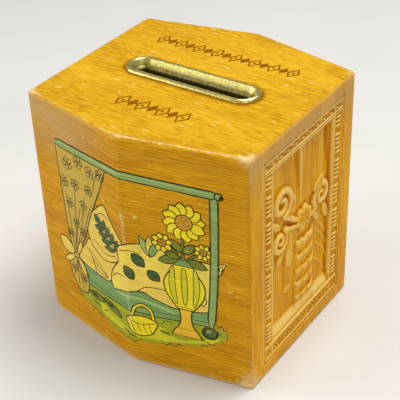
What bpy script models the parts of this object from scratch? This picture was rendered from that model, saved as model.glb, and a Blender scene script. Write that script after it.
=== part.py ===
"""A wooden money box: a hexagonal box of seven glued boards with a brass coin slot in its top,
a tilting guard flap under the slot, and a hinged wooden door with a small lock in its underside.

Run with: blender --background --python part.py
Metres, +Z up. The origin is on the resting plane, under the middle of the box. +X is the right
side panel, -Y the front ridge. The box is at rest with its door closed and its lock undone.
"""

from math import atan2, cos, pi, radians, sin

import bmesh
import bpy
from mathutils import Matrix, Vector

MM = 0.001

# Driving dimensions of the wooden box
WIDTH = 80 * MM  # between the two carved side panels
SIDE_DEPTH = 61.6 * MM  # of a side panel, front corner to back corner
RIDGE = 8.4 * MM  # how far the front and back ridges stand out past the corners
HEIGHT = 84 * MM
WALL = 7 * MM
TOP_THICK = 4 * MM
GLUE = 0.2 * MM  # glue line between two boards
CORNER_ROUND = 2.6 * MM  # at the four side corners, seen from above
RIDGE_ROUND = 3.2 * MM  # at the two shallow ridges
TOP_ROUND = 2.0 * MM
BOTTOM_ROUND = 1.5 * MM
BLOCK_LEG = 9 * MM  # the legs of a triangular corner block

# The pressed relief field in each side panel
FRAME_WIDTH = 47.6 * MM
FRAME_HEIGHT = 74.4 * MM
FRAME_GROOVE = 0.9 * MM
GROOVE_DEEP = 0.6 * MM
FIELD_WIDTH = 35.6 * MM
FIELD_HEIGHT = 62.4 * MM
FIELD_RISE = 0.7 * MM  # the field's middle above the frame's middle
FIELD_DEEP = 2.4 * MM
SILL = 3.6 * MM  # height of the sloping sill along the field's foot

# The brass slot plate and the guard under it
SLOT_HALF = 18.25 * MM  # from the middle to the centre of each round end
PLATE_EDGE = 5.75 * MM  # half the width of the plate
SLOT_EDGE = 1.5 * MM  # half the width of the coin slot
THROAT_EDGE = 2.1 * MM  # half the width outside the throat
PLATE_THICK = 0.9 * MM
THROAT_END = 78.8 * MM
SHEET = 0.8 * MM  # all the steel sheet
GAP = 0.2 * MM  # between a fixed sheet and the board it is fixed to
PLAY = 0.1 * MM  # round a pin or shaft that something turns on
FLAP_PIVOT = Vector((0, 5 * MM, 77.3 * MM))
FLAP_LENGTH = 39 * MM
FLAP_DROP = 9.5 * MM  # from the pivot to the tip
FLAP_BEND = 2 * MM  # from the pivot to where the leaf leans forwards
FLAP_LEAN = radians(25)
BARREL = 1.2 * MM
WIRE = 0.5 * MM
FLAP_TEETH = 8
GUARD_HALF = 27 * MM
NAIL_X = 24.6 * MM

# The door in the underside and its hinge
DOOR_LOW = 2 * MM
DOOR_THICK = 5 * MM
DOOR_PLAY = 0.7 * MM  # between the door's edge and the walls
HINGE_LENGTH = 30 * MM
KNUCKLE = 1.3 * MM
HINGE_PIN = 0.55 * MM
LEAF_REACH = 12.4 * MM

# The lock on the door
LOCK_X = 17 * MM  # of the key hole and rotor
CRANK = 2.83 * MM  # from the rotor's axis to its crank pin
CRANK_PIN = 0.8 * MM
CRANK_REST = radians(-45)  # from +Y towards +X, with the bolt drawn back
BOLT_TIP = 28.7 * MM
BOLT_HALF = 4.5 * MM
BOLT_LOW = 8.9 * MM
BOLT_HIGH = 11.1 * MM
CASE_LEFT = 6.5 * MM
CASE_RIGHT = 28.5 * MM
CASE_HALF = 8.5 * MM
CASE_HIGH = 12.6 * MM
ROTOR = 2.4 * MM
STUMP_X = 15 * MM  # of the fixed stump that guides the bolt's tail
STUMP_Y = -2.2 * MM
STUMP = 0.7 * MM
STRIKE_HALF = 7 * MM
STRIKE_LOW = 7.9 * MM
STRIKE_TIP = 29.9 * MM
STRIKE_HIGH = 18 * MM

# Fasteners: the radius and length of the shank, the radius and height of the head
SCREW = dict(shank=0.7 * MM, length=4.2 * MM, head=1.4 * MM, head_high=0.7 * MM)
SHORT_SCREW = dict(SCREW, length=3.4 * MM)
NAIL = dict(shank=0.6 * MM, length=3.6 * MM, head=1.5 * MM, head_high=0.6 * MM, slotted=False)
PIN = dict(shank=0.45 * MM, length=4 * MM, head=0.9 * MM, head_high=0.5 * MM, slotted=False)

# Each wall follows the corner with its index; corners run anticlockwise from the front left one
WALLS = (
    "front_left_wall",
    "front_right_wall",
    "right_side_panel",
    "back_right_wall",
    "back_left_wall",
    "left_side_panel",
)
SIDE_PANELS = (2, 5)
RIDGES = (1, 4)
BLOCKS = {"front_left": 0, "front_right": 2, "back_right": 3, "back_left": 5}

INNER_X = WIDTH / 2 - WALL
DOOR_HIGH = DOOR_LOW + DOOR_THICK
HINGE_AXIS = Vector((-INNER_X + 0.3 * MM + KNUCKLE, 0, DOOR_LOW))
CEILING = HEIGHT - TOP_THICK  # the top board's underside
UP, DOWN = Vector((0, 0, 1)), Vector((0, 0, -1))
LEFT, RIGHT = Vector((-1, 0, 0)), Vector((1, 0, 0))


def clear_scene():
    for found in list(bpy.data.objects):
        bpy.data.objects.remove(found)


def make_material(name, colour, roughness, metallic=0.0):
    made = bpy.data.materials.new(name)
    made.use_nodes = True
    shader = made.node_tree.nodes["Principled BSDF"]
    shader.inputs["Base Color"].default_value = (*colour, 1)
    shader.inputs["Roughness"].default_value = roughness
    shader.inputs["Metallic"].default_value = metallic
    return made


def add_object(name, mesh_maker, finish=None, origin=Vector()):
    """Links a new mesh object whose mesh is given in world space, with its origin where stated."""
    bmesh.ops.recalc_face_normals(mesh_maker, faces=mesh_maker.faces)
    mesh = bpy.data.meshes.new(name)
    mesh_maker.to_mesh(mesh)
    mesh_maker.free()
    mesh.transform(Matrix.Translation(-origin))
    mesh.shade_smooth()
    mesh.set_sharp_from_angle(angle=radians(32))
    made = bpy.data.objects.new(name, mesh)
    made.location = origin
    bpy.context.scene.collection.objects.link(made)
    if finish:
        mesh.materials.append(finish)
    return made


def helper(mesh_maker):
    """A cutter, or a shape that is joined into another; it isn't a part of its own."""
    made = add_object("helper", mesh_maker)
    made.hide_render = True
    made.display_type = "WIRE"
    return made


def boolean(target, other, operation="DIFFERENCE"):
    modifier = target.modifiers.new(operation.title(), "BOOLEAN")
    modifier.object = other
    modifier.operation = operation
    modifier.solver = "EXACT"


def cut(target, mesh_maker):
    boolean(target, helper(mesh_maker))


def join(target, mesh_maker):
    boolean(target, helper(mesh_maker), "UNION")


# Mesh makers: each returns a bmesh in world space


def skin(rings, closed=False):
    """A solid through rings of points: capped at both ends, or closed on itself as a ring is."""
    shape = bmesh.new()
    rows = [[shape.verts.new(point) for point in ring] for ring in rings]
    pairs = list(zip(rows, rows[1:]))
    if closed:
        pairs.append((rows[-1], rows[0]))
    else:
        shape.faces.new(rows[0])
        shape.faces.new(rows[-1])
    for low, high in pairs:
        for i in range(len(low)):
            j = (i + 1) % len(low)
            shape.faces.new((low[i], low[j], high[j], high[i]))
    return shape


def prism(outline, low, high):
    """An outline of (x, y) points, from one height to another."""
    return skin([[Vector((x, y, z)) for x, y in outline] for z in (low, high)])


def block(low, high):
    (x0, y0, z0), (x1, y1, z1) = low, high
    return prism([(x0, y0), (x1, y0), (x1, y1), (x0, y1)], z0, z1)


def side_frame(direction):
    """Two unit vectors across a direction."""
    first = direction.orthogonal().normalized()
    return first, direction.cross(first)


def lathe(base, direction, profile, sides=16):
    """A solid turned about an axis, through (radius, distance along the axis) pairs."""
    across, up = side_frame(direction)
    turns = [2 * pi * i / sides for i in range(sides)]
    return skin(
        [
            [base + direction * along + (across * cos(t) + up * sin(t)) * radius for t in turns]
            for radius, along in profile
        ]
    )


def rod(base, direction, radius, length, sides=16):
    return lathe(base, direction, [(radius, 0), (radius, length)], sides)


def stadium(edge, half=SLOT_HALF, steps=10):
    """A rounded slot outline, that far from its middle line along X."""
    turns = [-pi / 2 + pi * i / steps for i in range(steps + 1)]
    right = [(half + edge * cos(t), edge * sin(t)) for t in turns]
    return right + [(-x, -y) for x, y in right]


# The hexagon in plan


def unit(vector):
    return vector / vector.length


def hexagon_corners():
    x, y = WIDTH / 2, SIDE_DEPTH / 2
    plan = [(-x, -y), (0, -y - RIDGE), (x, -y), (x, y), (0, y + RIDGE), (-x, y)]
    return [Vector(point) for point in plan]


def corner_normals(index):
    """The inward normals of the edges before and after a corner."""
    corners = hexagon_corners()
    before = unit(corners[index] - corners[index - 1])
    after = unit(corners[(index + 1) % 6] - corners[index])
    return Vector((-before.y, before.x)), Vector((-after.y, after.x))


def inset_corner(index, distance):
    first, second = corner_normals(index)
    return hexagon_corners()[index] + (first + second) * distance / (1 + first.dot(second))


def corner_arc(index, inset, steps=8):
    """Points round a corner of the outer outline, moved inwards by inset."""
    radius = RIDGE_ROUND if index in RIDGES else CORNER_ROUND
    first, second = corner_normals(index)
    centre = inset_corner(index, radius)
    start = atan2(-first.y, -first.x)
    turn = first.angle(second)
    angles = [start + turn * i / steps for i in range(steps + 1)]
    return [centre + Vector((cos(a), sin(a))) * (radius - inset) for a in angles]


def outer_outline(inset):
    return [point for index in range(6) for point in corner_arc(index, inset)]


def inner_outline(inset):
    """The hexagon inside the walls, moved further inwards by inset."""
    return [inset_corner(index, WALL + inset) for index in range(6)]


def mitre_step(index):
    """Half a glue line across the mitre at a corner, towards the wall that follows it."""
    first, second = corner_normals(index)
    bisector = unit(first + second)
    return Vector((bisector.y, -bisector.x)) * GLUE / 2


def wall_outline(index, inset):
    """The wall from a corner to the next, cut by the mitre at each end."""
    following = (index + 1) % 6
    start, end = corner_arc(index, inset), corner_arc(following, inset)
    middle = len(start) // 2
    step, back = mitre_step(index), -mitre_step(following)
    outer = [start[middle] + step] + start[middle + 1 :] + end[:middle] + [end[middle] + back]
    return outer + [inset_corner(following, WALL) + back, inset_corner(index, WALL) + step]


def at_height(outline, z):
    return [Vector((point.x, point.y, z)) for point in outline]


# Wooden parts


def make_wall(name, index, finish):
    quarter = [pi / 2 * i / 3 for i in range(4)]
    rings = [
        at_height(wall_outline(index, BOTTOM_ROUND * (1 - sin(a))), BOTTOM_ROUND * (1 - cos(a)))
        for a in quarter
    ]
    rings.append(at_height(wall_outline(index, 0), CEILING - GLUE))
    return add_object(name, skin(rings), finish)


def rectangle_on_side(side, width, height, x, middle, foot_rise=0.0):
    """Corner points of a rectangle that faces a side panel; its foot can be raised."""
    low, high = middle - height / 2 + foot_rise, middle + height / 2
    half = width / 2
    return [Vector((side * x, y, z)) for y, z in ((-half, low), (half, low), (half, high), (-half, high))]


def cut_relief_field(panel, side):
    """The sunk field with its sloping sill, and the groove that frames it."""
    face, middle = WIDTH / 2, HEIGHT / 2
    field_middle = middle + FIELD_RISE
    floor = face - FIELD_DEEP
    above = face + 1 * MM
    mouth = rectangle_on_side(side, FIELD_WIDTH, FIELD_HEIGHT, face, field_middle)
    lip = rectangle_on_side(side, FIELD_WIDTH, FIELD_HEIGHT, above, field_middle)
    bed = rectangle_on_side(side, FIELD_WIDTH - 1 * MM, FIELD_HEIGHT - 1 * MM, floor, field_middle, SILL)
    cut(panel, skin([lip, mouth, bed]))
    outer = rectangle_on_side(side, FRAME_WIDTH, FRAME_HEIGHT, above, middle)
    inner_width, inner_height = FRAME_WIDTH - 2 * FRAME_GROOVE, FRAME_HEIGHT - 2 * FRAME_GROOVE
    inner = rectangle_on_side(side, inner_width, inner_height, above, middle)
    sink = Vector((-side * (1 * MM + GROOVE_DEEP), 0, 0))
    rings = [outer, inner, [point + sink for point in inner], [point + sink for point in outer]]
    cut(panel, skin(rings, closed=True))


def make_top_board(finish):
    quarter = [pi / 2 * i / 3 for i in range(4)]
    rings = [at_height(outer_outline(0), CEILING)]
    for a in quarter:
        height = HEIGHT - TOP_ROUND * (1 - sin(a))
        rings.append(at_height(outer_outline(TOP_ROUND * (1 - cos(a))), height))
    board = add_object("top_board", skin(rings), finish)
    cut(board, prism(stadium(4.5 * MM), CEILING - 1 * MM, HEIGHT + 1 * MM))
    return board


def make_corner_block(name, index, finish):
    """A triangular glue block standing in a corner, from just above the door to the top board."""
    corner = inset_corner(index, WALL + GLUE)
    corners = hexagon_corners()
    before = unit(corners[index - 1] - corners[index])
    after = unit(corners[(index + 1) % 6] - corners[index])
    plan = [corner, corner + after * BLOCK_LEG, corner + before * BLOCK_LEG]
    return add_object(name, prism(plan, DOOR_HIGH + 0.3 * MM, CEILING - GLUE), finish)


# The coin slot and its guard


def make_slot_plate(finish):
    """A brass pressing: a flat rim, a rolled edge, a funnel and a throat, the same all round."""
    rim_low = HEIGHT + GAP
    rim_high = rim_low + PLATE_THICK
    profile = [
        (PLATE_EDGE, rim_low),
        (PLATE_EDGE, rim_low + 0.4 * MM),
        (PLATE_EDGE - 0.35 * MM, rim_high - 0.1 * MM),
        (5.0 * MM, rim_high),
        (4.5 * MM, rim_high - 0.15 * MM),
        (3.6 * MM, 83.9 * MM),
        (2.5 * MM, 82.8 * MM),
        (SLOT_EDGE + 0.3 * MM, 81.8 * MM),
        (SLOT_EDGE, 80.8 * MM),
        (SLOT_EDGE, THROAT_END),
        (THROAT_EDGE, THROAT_END),
        (THROAT_EDGE, 80.8 * MM),
        (THROAT_EDGE + 0.3 * MM, 81.5 * MM),
        (3.1 * MM, 82.4 * MM),
        (4.1 * MM, 83.4 * MM),
        (4.25 * MM, rim_low),
    ]
    rings = [[Vector((x, y, z)) for x, y in stadium(edge)] for edge, z in profile]
    return add_object("slot_plate", skin(rings, closed=True), finish)


def guard_bracket_levels():
    high = CEILING - GAP
    return high - SHEET, high


def make_guard_bracket(finish):
    """A sheet plate round the throat, with two ears for the flap's wire and a stop lip behind it."""
    low, high = guard_bracket_levels()
    front, back = -6.5 * MM, 9.5 * MM
    plate = block((-GUARD_HALF, front, low), (GUARD_HALF, back, high))
    bracket = add_object("guard_bracket", plate, finish)
    ear = FLAP_LENGTH / 2 + 0.5 * MM
    foot = FLAP_PIVOT.z - 2.2 * MM
    into_plate = low + SHEET / 2
    for side in (-1, 1):
        near, far = sorted((side * ear, side * (ear + SHEET)))
        y0, y1 = FLAP_PIVOT.y - 2 * MM, FLAP_PIVOT.y + 2.1 * MM
        join(bracket, block((near, y0, foot), (far, y1, into_plate)))
    lip = FLAP_PIVOT.y + BARREL + GAP
    reach = FLAP_LENGTH / 2 - 2 * MM
    join(bracket, block((-reach, lip, 73 * MM), (reach, lip + SHEET, into_plate)))
    cut(bracket, prism(stadium(THROAT_EDGE + 0.4 * MM), low - 1 * MM, high + 1 * MM))
    start = Vector((-ear - 2 * MM, FLAP_PIVOT.y, FLAP_PIVOT.z))
    cut(bracket, rod(start, RIGHT, WIRE + PLAY, 2 * ear + 4 * MM))
    return bracket


def make_flap_wire(finish):
    """The wire that the flap hangs on, with a peened head at each end."""
    head, head_long = 0.9 * MM, 0.6 * MM
    half = FLAP_LENGTH / 2 + 0.5 * MM + SHEET + 0.3 * MM + head_long
    near, far, end = head_long, 2 * half - head_long, 2 * half
    profile = [(head, 0), (head, near), (WIRE, near), (WIRE, far), (head, far), (head, end)]
    return add_object("flap_wire", lathe(FLAP_PIVOT - RIGHT * half, RIGHT, profile, 12), finish)


def flap_profile():
    """The flap seen along its wire: a barrel, and a leaf from its back that leans forwards."""
    centre = Vector((FLAP_PIVOT.y, FLAP_PIVOT.z))
    back, face = BARREL, BARREL - SHEET
    end = 2 * pi + atan2(-((BARREL**2 - face**2) ** 0.5), face)  # where the leaf's face leaves the barrel
    barrel = [Vector((cos(end * i / 14), sin(end * i / 14))) * BARREL for i in range(15)]
    lean = (FLAP_DROP - FLAP_BEND) * sin(FLAP_LEAN) / cos(FLAP_LEAN)
    leaf = [(face, -FLAP_BEND), (face - lean, -FLAP_DROP), (back - lean, -FLAP_DROP), (back, -FLAP_BEND)]
    return [centre + point for point in barrel + [Vector(point) for point in leaf]]


def make_coin_flap(finish):
    """The flap, with a saw-toothed tip."""
    half = FLAP_LENGTH / 2
    rings = [[Vector((x, y, z)) for y, z in flap_profile()] for x in (-half, half)]
    flap = add_object("coin_flap", skin(rings), finish, FLAP_PIVOT.copy())
    start = FLAP_PIVOT - RIGHT * (half + 1 * MM)
    cut(flap, rod(start, RIGHT, WIRE + PLAY, 2 * half + 2 * MM))
    pitch = FLAP_LENGTH / FLAP_TEETH
    tip = FLAP_PIVOT.z - FLAP_DROP
    for i in range(1, FLAP_TEETH):
        middle, foot = -half + pitch * i, tip - 1 * MM
        plan = [(middle - 1.4 * MM, foot), (middle + 1.4 * MM, foot), (middle, tip + 2 * MM)]
        rings = [[Vector((x, y, z)) for x, z in plan] for y in (-1 * MM, 9 * MM)]
        cut(flap, skin(rings))
    return flap


# The door, its hinge and its lock


def make_bottom_door(finish):
    """A hexagonal board, rebated along its left edge for the hinge's knuckles."""
    plan = inner_outline(DOOR_PLAY)
    left = -INNER_X + 1.4 * MM
    plan[0].x = plan[5].x = left
    door = add_object("bottom_door", prism(plan, DOOR_LOW, DOOR_HIGH), finish, HINGE_AXIS.copy())
    half = HINGE_LENGTH / 2 + 0.4 * MM
    edge = HINGE_AXIS.x + KNUCKLE + 0.4 * MM
    cut(door, block((left - 1 * MM, -half, 0), (edge, half, DOOR_LOW + KNUCKLE + 0.4 * MM)))
    cut(door, rod(Vector((LOCK_X, 0, 0)), UP, ROTOR + PLAY, 2 * DOOR_HIGH, 20))
    return door


def knuckle(start, end):
    return rod(HINGE_AXIS + Vector((0, start, 0)), Vector((0, 1, 0)), KNUCKLE, end - start)


def cut_hinge_bore(leaf):
    start = HINGE_AXIS - Vector((0, HINGE_LENGTH, 0))
    cut(leaf, rod(start, Vector((0, 1, 0)), HINGE_PIN + PLAY, 2 * HINGE_LENGTH))


def make_hinge_wall_leaf(finish):
    """The leaf against the left wall, with the two outer knuckles."""
    half, third = HINGE_LENGTH / 2, HINGE_LENGTH / 6
    left = HINGE_AXIS.x - KNUCKLE
    foot = HINGE_AXIS.z + KNUCKLE + 0.4 * MM
    high = foot + 10 * MM
    leaf = add_object("hinge_wall_leaf", block((left, -half, foot), (left + SHEET, half, high)), finish)
    for start, end in ((-half, -third - 0.2 * MM), (third + 0.2 * MM, half)):
        join(leaf, block((left, start, HINGE_AXIS.z), (left + SHEET, end, foot + 1 * MM)))
        join(leaf, knuckle(start, end))
    cut_hinge_bore(leaf)
    return leaf


def make_hinge_door_leaf(finish):
    """The leaf under the door, with the middle knuckle."""
    half, third = HINGE_LENGTH / 2, HINGE_LENGTH / 6 - 0.2 * MM
    high = DOOR_LOW - GAP
    low = high - SHEET
    start = HINGE_AXIS.x + KNUCKLE + 0.3 * MM
    end = HINGE_AXIS.x + LEAF_REACH
    plate = block((start, -half, low), (end, half, high))
    leaf = add_object("hinge_door_leaf", plate, finish, HINGE_AXIS.copy())
    join(leaf, block((HINGE_AXIS.x, -third, low), (start + 1 * MM, third, high)))
    join(leaf, knuckle(-third, third))
    cut_hinge_bore(leaf)
    return leaf


def make_hinge_pin(finish):
    start = HINGE_AXIS - Vector((0, HINGE_LENGTH / 2, 0))
    return add_object("hinge_pin", rod(start, Vector((0, 1, 0)), HINGE_PIN, HINGE_LENGTH), finish)


def make_lock_case(finish):
    """A sheet cover with a flange at each side, open below and where the bolt comes out."""
    low = DOOR_HIGH + GAP
    outer = block((CASE_LEFT, -CASE_HALF, low), (CASE_RIGHT, CASE_HALF, CASE_HIGH))
    case = add_object("lock_case", outer, finish)
    flange = CASE_HALF + 6 * MM
    join(case, block((LOCK_X - 5 * MM, -flange, low), (LOCK_X + 5 * MM, flange, low + SHEET)))
    inside_low = (CASE_LEFT + SHEET, -CASE_HALF + SHEET, low - 1 * MM)
    cut(case, block(inside_low, (CASE_RIGHT - SHEET, CASE_HALF - SHEET, CASE_HIGH - SHEET)))
    window = BOLT_HALF + 0.3 * MM
    window_low = (CASE_RIGHT - 3 * MM, -window, BOLT_LOW - 0.3 * MM)
    cut(case, block(window_low, (CASE_RIGHT + 1 * MM, window, BOLT_HIGH + 0.3 * MM)))
    cut(case, rod(Vector((STUMP_X, STUMP_Y, BOLT_HIGH)), UP, STUMP + PLAY, 3 * MM))
    return case


def make_bolt_stump(finish):
    """A rivet in the case's roof, whose shank runs in the bolt's slot."""
    seat, head = CASE_HIGH + 0.1 * MM, 1.2 * MM
    base = Vector((STUMP_X, STUMP_Y, 0))
    profile = [(STUMP, BOLT_LOW - 0.2 * MM), (STUMP, seat), (head, seat), (head * 0.7, seat + 0.6 * MM)]
    return add_object("bolt_stump", lathe(base, UP, profile, 12), finish)


def make_lock_bolt(finish):
    """A flat bar with an open notch for the rotor's crank pin, and a slot that the stump guides."""
    notch_x = LOCK_X + CRANK * sin(CRANK_REST)
    notch_half = CRANK_PIN + 0.25 * MM
    notch_y = CRANK * cos(CRANK_REST) - CRANK_PIN - 0.3 * MM
    tail = notch_x - 6.4 * MM
    plan = [
        (tail, -BOLT_HALF),
        (BOLT_TIP - 1 * MM, -BOLT_HALF),
        (BOLT_TIP, -BOLT_HALF + 1 * MM),
        (BOLT_TIP, BOLT_HALF - 1 * MM),
        (BOLT_TIP - 1 * MM, BOLT_HALF),
        (notch_x + notch_half, BOLT_HALF),
        (notch_x + notch_half, notch_y),
        (notch_x - notch_half, notch_y),
        (notch_x - notch_half, BOLT_HALF),
        (tail, BOLT_HALF),
    ]
    bolt = add_object("lock_bolt", prism(plan, BOLT_LOW, BOLT_HIGH), finish)
    throw = -2 * CRANK * sin(CRANK_REST)
    slot = stadium(STUMP + PLAY, half=throw / 2 + 0.1 * MM, steps=6)
    middle = STUMP_X - throw / 2
    outline = [(middle + x, STUMP_Y + y) for x, y in slot]
    cut(bolt, prism(outline, BOLT_LOW - 1 * MM, BOLT_HIGH + 1 * MM))
    return bolt


def make_lock_rotor(finish):
    """The piece that the key turns: a shaft in the door, a disc above it and a crank pin."""
    axis = Vector((LOCK_X, 0, 0))
    low, disc_low, disc_high = DOOR_LOW + 0.3 * MM, DOOR_HIGH + 0.3 * MM, DOOR_HIGH + 1.4 * MM
    disc = 4.2 * MM
    profile = [(ROTOR, low), (ROTOR, disc_low), (disc, disc_low), (disc, disc_high)]
    rotor = add_object("lock_rotor", lathe(axis, UP, profile, 20), finish, axis.copy())
    crank = axis + Vector((sin(CRANK_REST), cos(CRANK_REST), 0)) * CRANK
    crank.z = disc_high - 0.5 * MM
    join(rotor, rod(crank, UP, CRANK_PIN, BOLT_HIGH + 0.3 * MM - crank.z))
    slot_x, slot_y = 1.8 * MM, 0.6 * MM
    cut(rotor, block((LOCK_X - slot_x, -slot_y, 0), (LOCK_X + slot_x, slot_y, low + 4 * MM)))
    return rotor


def make_escutcheon(finish):
    """The brass disc round the key hole, under the door."""
    high = DOOR_LOW - GAP
    low = high - SHEET
    axis = Vector((LOCK_X, 0, 0))
    radius = 7 * MM
    profile = [(radius - 0.3 * MM, low), (radius, low + 0.3 * MM), (radius, high)]
    disc = add_object("escutcheon", lathe(axis, UP, profile, 32), finish)
    cut(disc, rod(axis, UP, 1.7 * MM, 4 * MM))
    half = 0.75 * MM
    cut(disc, block((LOCK_X, -half, 0), (LOCK_X + 4.4 * MM, half, 4 * MM)))
    return disc


def make_strike_plate(finish):
    """A steel angle let into the right wall; the bolt shoots over its lower flange."""
    face = INNER_X + GAP
    upright = block((face, -STRIKE_HALF, STRIKE_LOW), (face + SHEET, STRIKE_HALF, STRIKE_HIGH))
    strike = add_object("strike_plate", upright, finish)
    far_corner = (face + SHEET / 2, STRIKE_HALF, STRIKE_LOW + SHEET)
    join(strike, block((STRIKE_TIP, -STRIKE_HALF, STRIKE_LOW), far_corner))
    return strike


def cut_strike_rebate(wall):
    half = STRIKE_HALF + 0.3 * MM
    low = (INNER_X - 1 * MM, -half, STRIKE_LOW - 0.3 * MM)
    cut(wall, block(low, (INNER_X + SHEET + 2 * GAP, half, STRIKE_HIGH + 0.3 * MM)))


# Screws and nails


def add_fastener(name, seat, inwards, shank, length, head, head_high, finish, through, slotted=True):
    """A screw or nail whose head rests at seat; each part it goes through gets a hole for it."""
    base = seat - inwards * (head_high + 0.05 * MM)
    neck = head_high
    end = neck + length
    profile = [
        (head * 0.6, 0),
        (head * 0.95, head_high * 0.45),
        (head, neck),
        (shank, neck),
        (shank, end - 1.2 * MM),
        (shank * 0.35, end),
    ]
    made = add_object(name, lathe(base, inwards, profile, 12), finish, seat.copy())
    if slotted:
        across, up = side_frame(inwards)
        half_slot, half_long, deep = 0.2 * MM, head * 1.2, head_high * 0.5
        corners = ((-1, -1), (1, -1), (1, 1), (-1, 1))
        plan = [across * half_long * a + up * half_slot * b for a, b in corners]
        cut(made, skin([[base + inwards * z + p for p in plan] for z in (-0.5 * MM, deep)]))
    for part in through:
        cut(part, rod(seat - inwards * 1 * MM, inwards, shank + 0.15 * MM, length + 1.3 * MM, 12))
    return made


def add_pair(name, places, inwards, through, finish, details):
    """Like fasteners, each named by where it is."""
    for end, place in places.items():
        add_fastener(f"{name}_{end}", place, inwards, finish=finish, through=through, **details)


def front_and_back(x, spread, z):
    return {"front": Vector((x, -spread, z)), "back": Vector((x, spread, z))}


def fasten_guard(bracket, top, finish):
    seat = guard_bracket_levels()[0]
    places = {"left": Vector((-NAIL_X, 0, seat)), "right": Vector((NAIL_X, 0, seat))}
    add_pair("guard_nail", places, UP, [bracket, top], finish, NAIL)


def fasten_hinge(wall_leaf, wall, door_leaf, door, finish):
    spread = HINGE_LENGTH / 3
    wall_face = HINGE_AXIS.x - KNUCKLE + SHEET
    places = front_and_back(wall_face, spread, HINGE_AXIS.z + KNUCKLE + 6.4 * MM)
    add_pair("hinge_wall_screw", places, LEFT, [wall_leaf, wall], finish, SCREW)
    places = front_and_back(HINGE_AXIS.x + LEAF_REACH - 4 * MM, spread, DOOR_LOW - GAP - SHEET)
    add_pair("hinge_door_screw", places, UP, [door_leaf, door], finish, SCREW)


def fasten_lock(case, door, strike, wall, finish):
    places = front_and_back(LOCK_X, CASE_HALF + 3.2 * MM, DOOR_HIGH + GAP + SHEET)
    add_pair("lock_screw", places, DOWN, [case, door], finish, SCREW)
    places = front_and_back(INNER_X + GAP, 4 * MM, STRIKE_HIGH - 3.4 * MM)
    add_pair("strike_screw", places, RIGHT, [strike, wall], finish, SHORT_SCREW)


def fasten_escutcheon(escutcheon, door, finish):
    places = front_and_back(LOCK_X, 5.2 * MM, DOOR_LOW - GAP - SHEET)
    add_pair("escutcheon_pin", places, UP, [escutcheon, door], finish, PIN)


def main():
    clear_scene()
    lacquer = make_material("lacquered_wood", (0.68, 0.37, 0.06), 0.3)
    relief = make_material("relief_wood", (0.62, 0.33, 0.07), 0.35)
    bare = make_material("bare_wood", (0.72, 0.55, 0.34), 0.75)
    brass = make_material("brass", (0.72, 0.60, 0.26), 0.32, 1.0)
    steel = make_material("steel", (0.50, 0.50, 0.49), 0.42, 1.0)

    walls = [
        make_wall(name, index, relief if index in SIDE_PANELS else lacquer)
        for index, name in enumerate(WALLS)
    ]
    right_panel, left_panel = (walls[index] for index in SIDE_PANELS)
    cut_relief_field(right_panel, 1)
    cut_relief_field(left_panel, -1)
    cut_strike_rebate(right_panel)
    top = make_top_board(lacquer)
    for name, index in BLOCKS.items():
        make_corner_block("corner_block_" + name, index, bare)

    make_slot_plate(brass)
    bracket = make_guard_bracket(steel)
    make_flap_wire(steel)
    make_coin_flap(steel)
    fasten_guard(bracket, top, steel)

    door = make_bottom_door(bare)
    wall_leaf, door_leaf = make_hinge_wall_leaf(brass), make_hinge_door_leaf(brass)
    make_hinge_pin(steel)
    fasten_hinge(wall_leaf, left_panel, door_leaf, door, brass)

    case, strike = make_lock_case(steel), make_strike_plate(steel)
    make_bolt_stump(steel)
    make_lock_bolt(steel)
    make_lock_rotor(brass)
    fasten_lock(case, door, strike, right_panel, steel)
    fasten_escutcheon(make_escutcheon(brass), door, brass)


main()
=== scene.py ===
"""The looks of a wooden money box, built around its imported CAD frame: lacquered boards with worn edges,
a pressed relief in each side, a print over the front ridge, a brass coin slot and the hardware inside.

Lengths are in millimetres until a mesh is made. Over the front, u runs to the right from the ridge.
"""

import math

import bmesh
import bpy
import numpy as np
from mathutils import Matrix, Vector, noise


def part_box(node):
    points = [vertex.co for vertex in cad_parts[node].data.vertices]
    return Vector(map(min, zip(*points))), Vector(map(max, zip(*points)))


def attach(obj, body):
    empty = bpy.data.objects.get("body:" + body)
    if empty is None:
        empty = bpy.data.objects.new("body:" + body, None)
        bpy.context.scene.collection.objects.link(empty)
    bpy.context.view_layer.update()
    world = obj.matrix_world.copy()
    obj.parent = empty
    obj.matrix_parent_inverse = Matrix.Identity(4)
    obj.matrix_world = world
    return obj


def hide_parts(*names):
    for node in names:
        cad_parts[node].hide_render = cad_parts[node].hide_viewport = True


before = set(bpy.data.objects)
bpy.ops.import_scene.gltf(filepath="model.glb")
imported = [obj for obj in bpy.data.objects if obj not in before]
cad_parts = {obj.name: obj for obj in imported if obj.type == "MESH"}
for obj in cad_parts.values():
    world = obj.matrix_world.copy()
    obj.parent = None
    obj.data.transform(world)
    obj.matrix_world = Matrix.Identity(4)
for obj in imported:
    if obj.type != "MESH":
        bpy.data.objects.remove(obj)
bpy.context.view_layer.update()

MM = 0.001


def node_box(name):
    """A CAD node's lower and upper corner, in millimetres."""
    low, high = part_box(name)
    return np.array(low) / MM, np.array(high) / MM


# Sizes that come from the frame
TOP_LOW, TOP_HIGH = node_box("top_board")
PANEL_LOW, PANEL_HIGH = node_box("right_side_panel")
PLATE_LOW, PLATE_HIGH = node_box("slot_plate")
STRIKE_LOW, STRIKE_HIGH = node_box("strike_plate")
HALF_WIDTH = TOP_HIGH[0]
HEIGHT = TOP_HIGH[2]
CEILING = TOP_LOW[2]
WALL = PANEL_HIGH[0] - PANEL_LOW[0]
HALF_SLOT = (PLATE_HIGH[0] - PLATE_LOW[0]) / 2 - PLATE_HIGH[1]  # from its middle to its round ends' middles

HOLE_HALF = 4.5  # half the width of the hole in the top board
SLOT_NECK = 82.6  # the height at which the brass funnel narrows to its throat
PLAIN_SPACING, RELIEF_SPACING, TOP_SPACING = 1.0, 0.3, 1.5  # between the points of each kind of board

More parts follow.
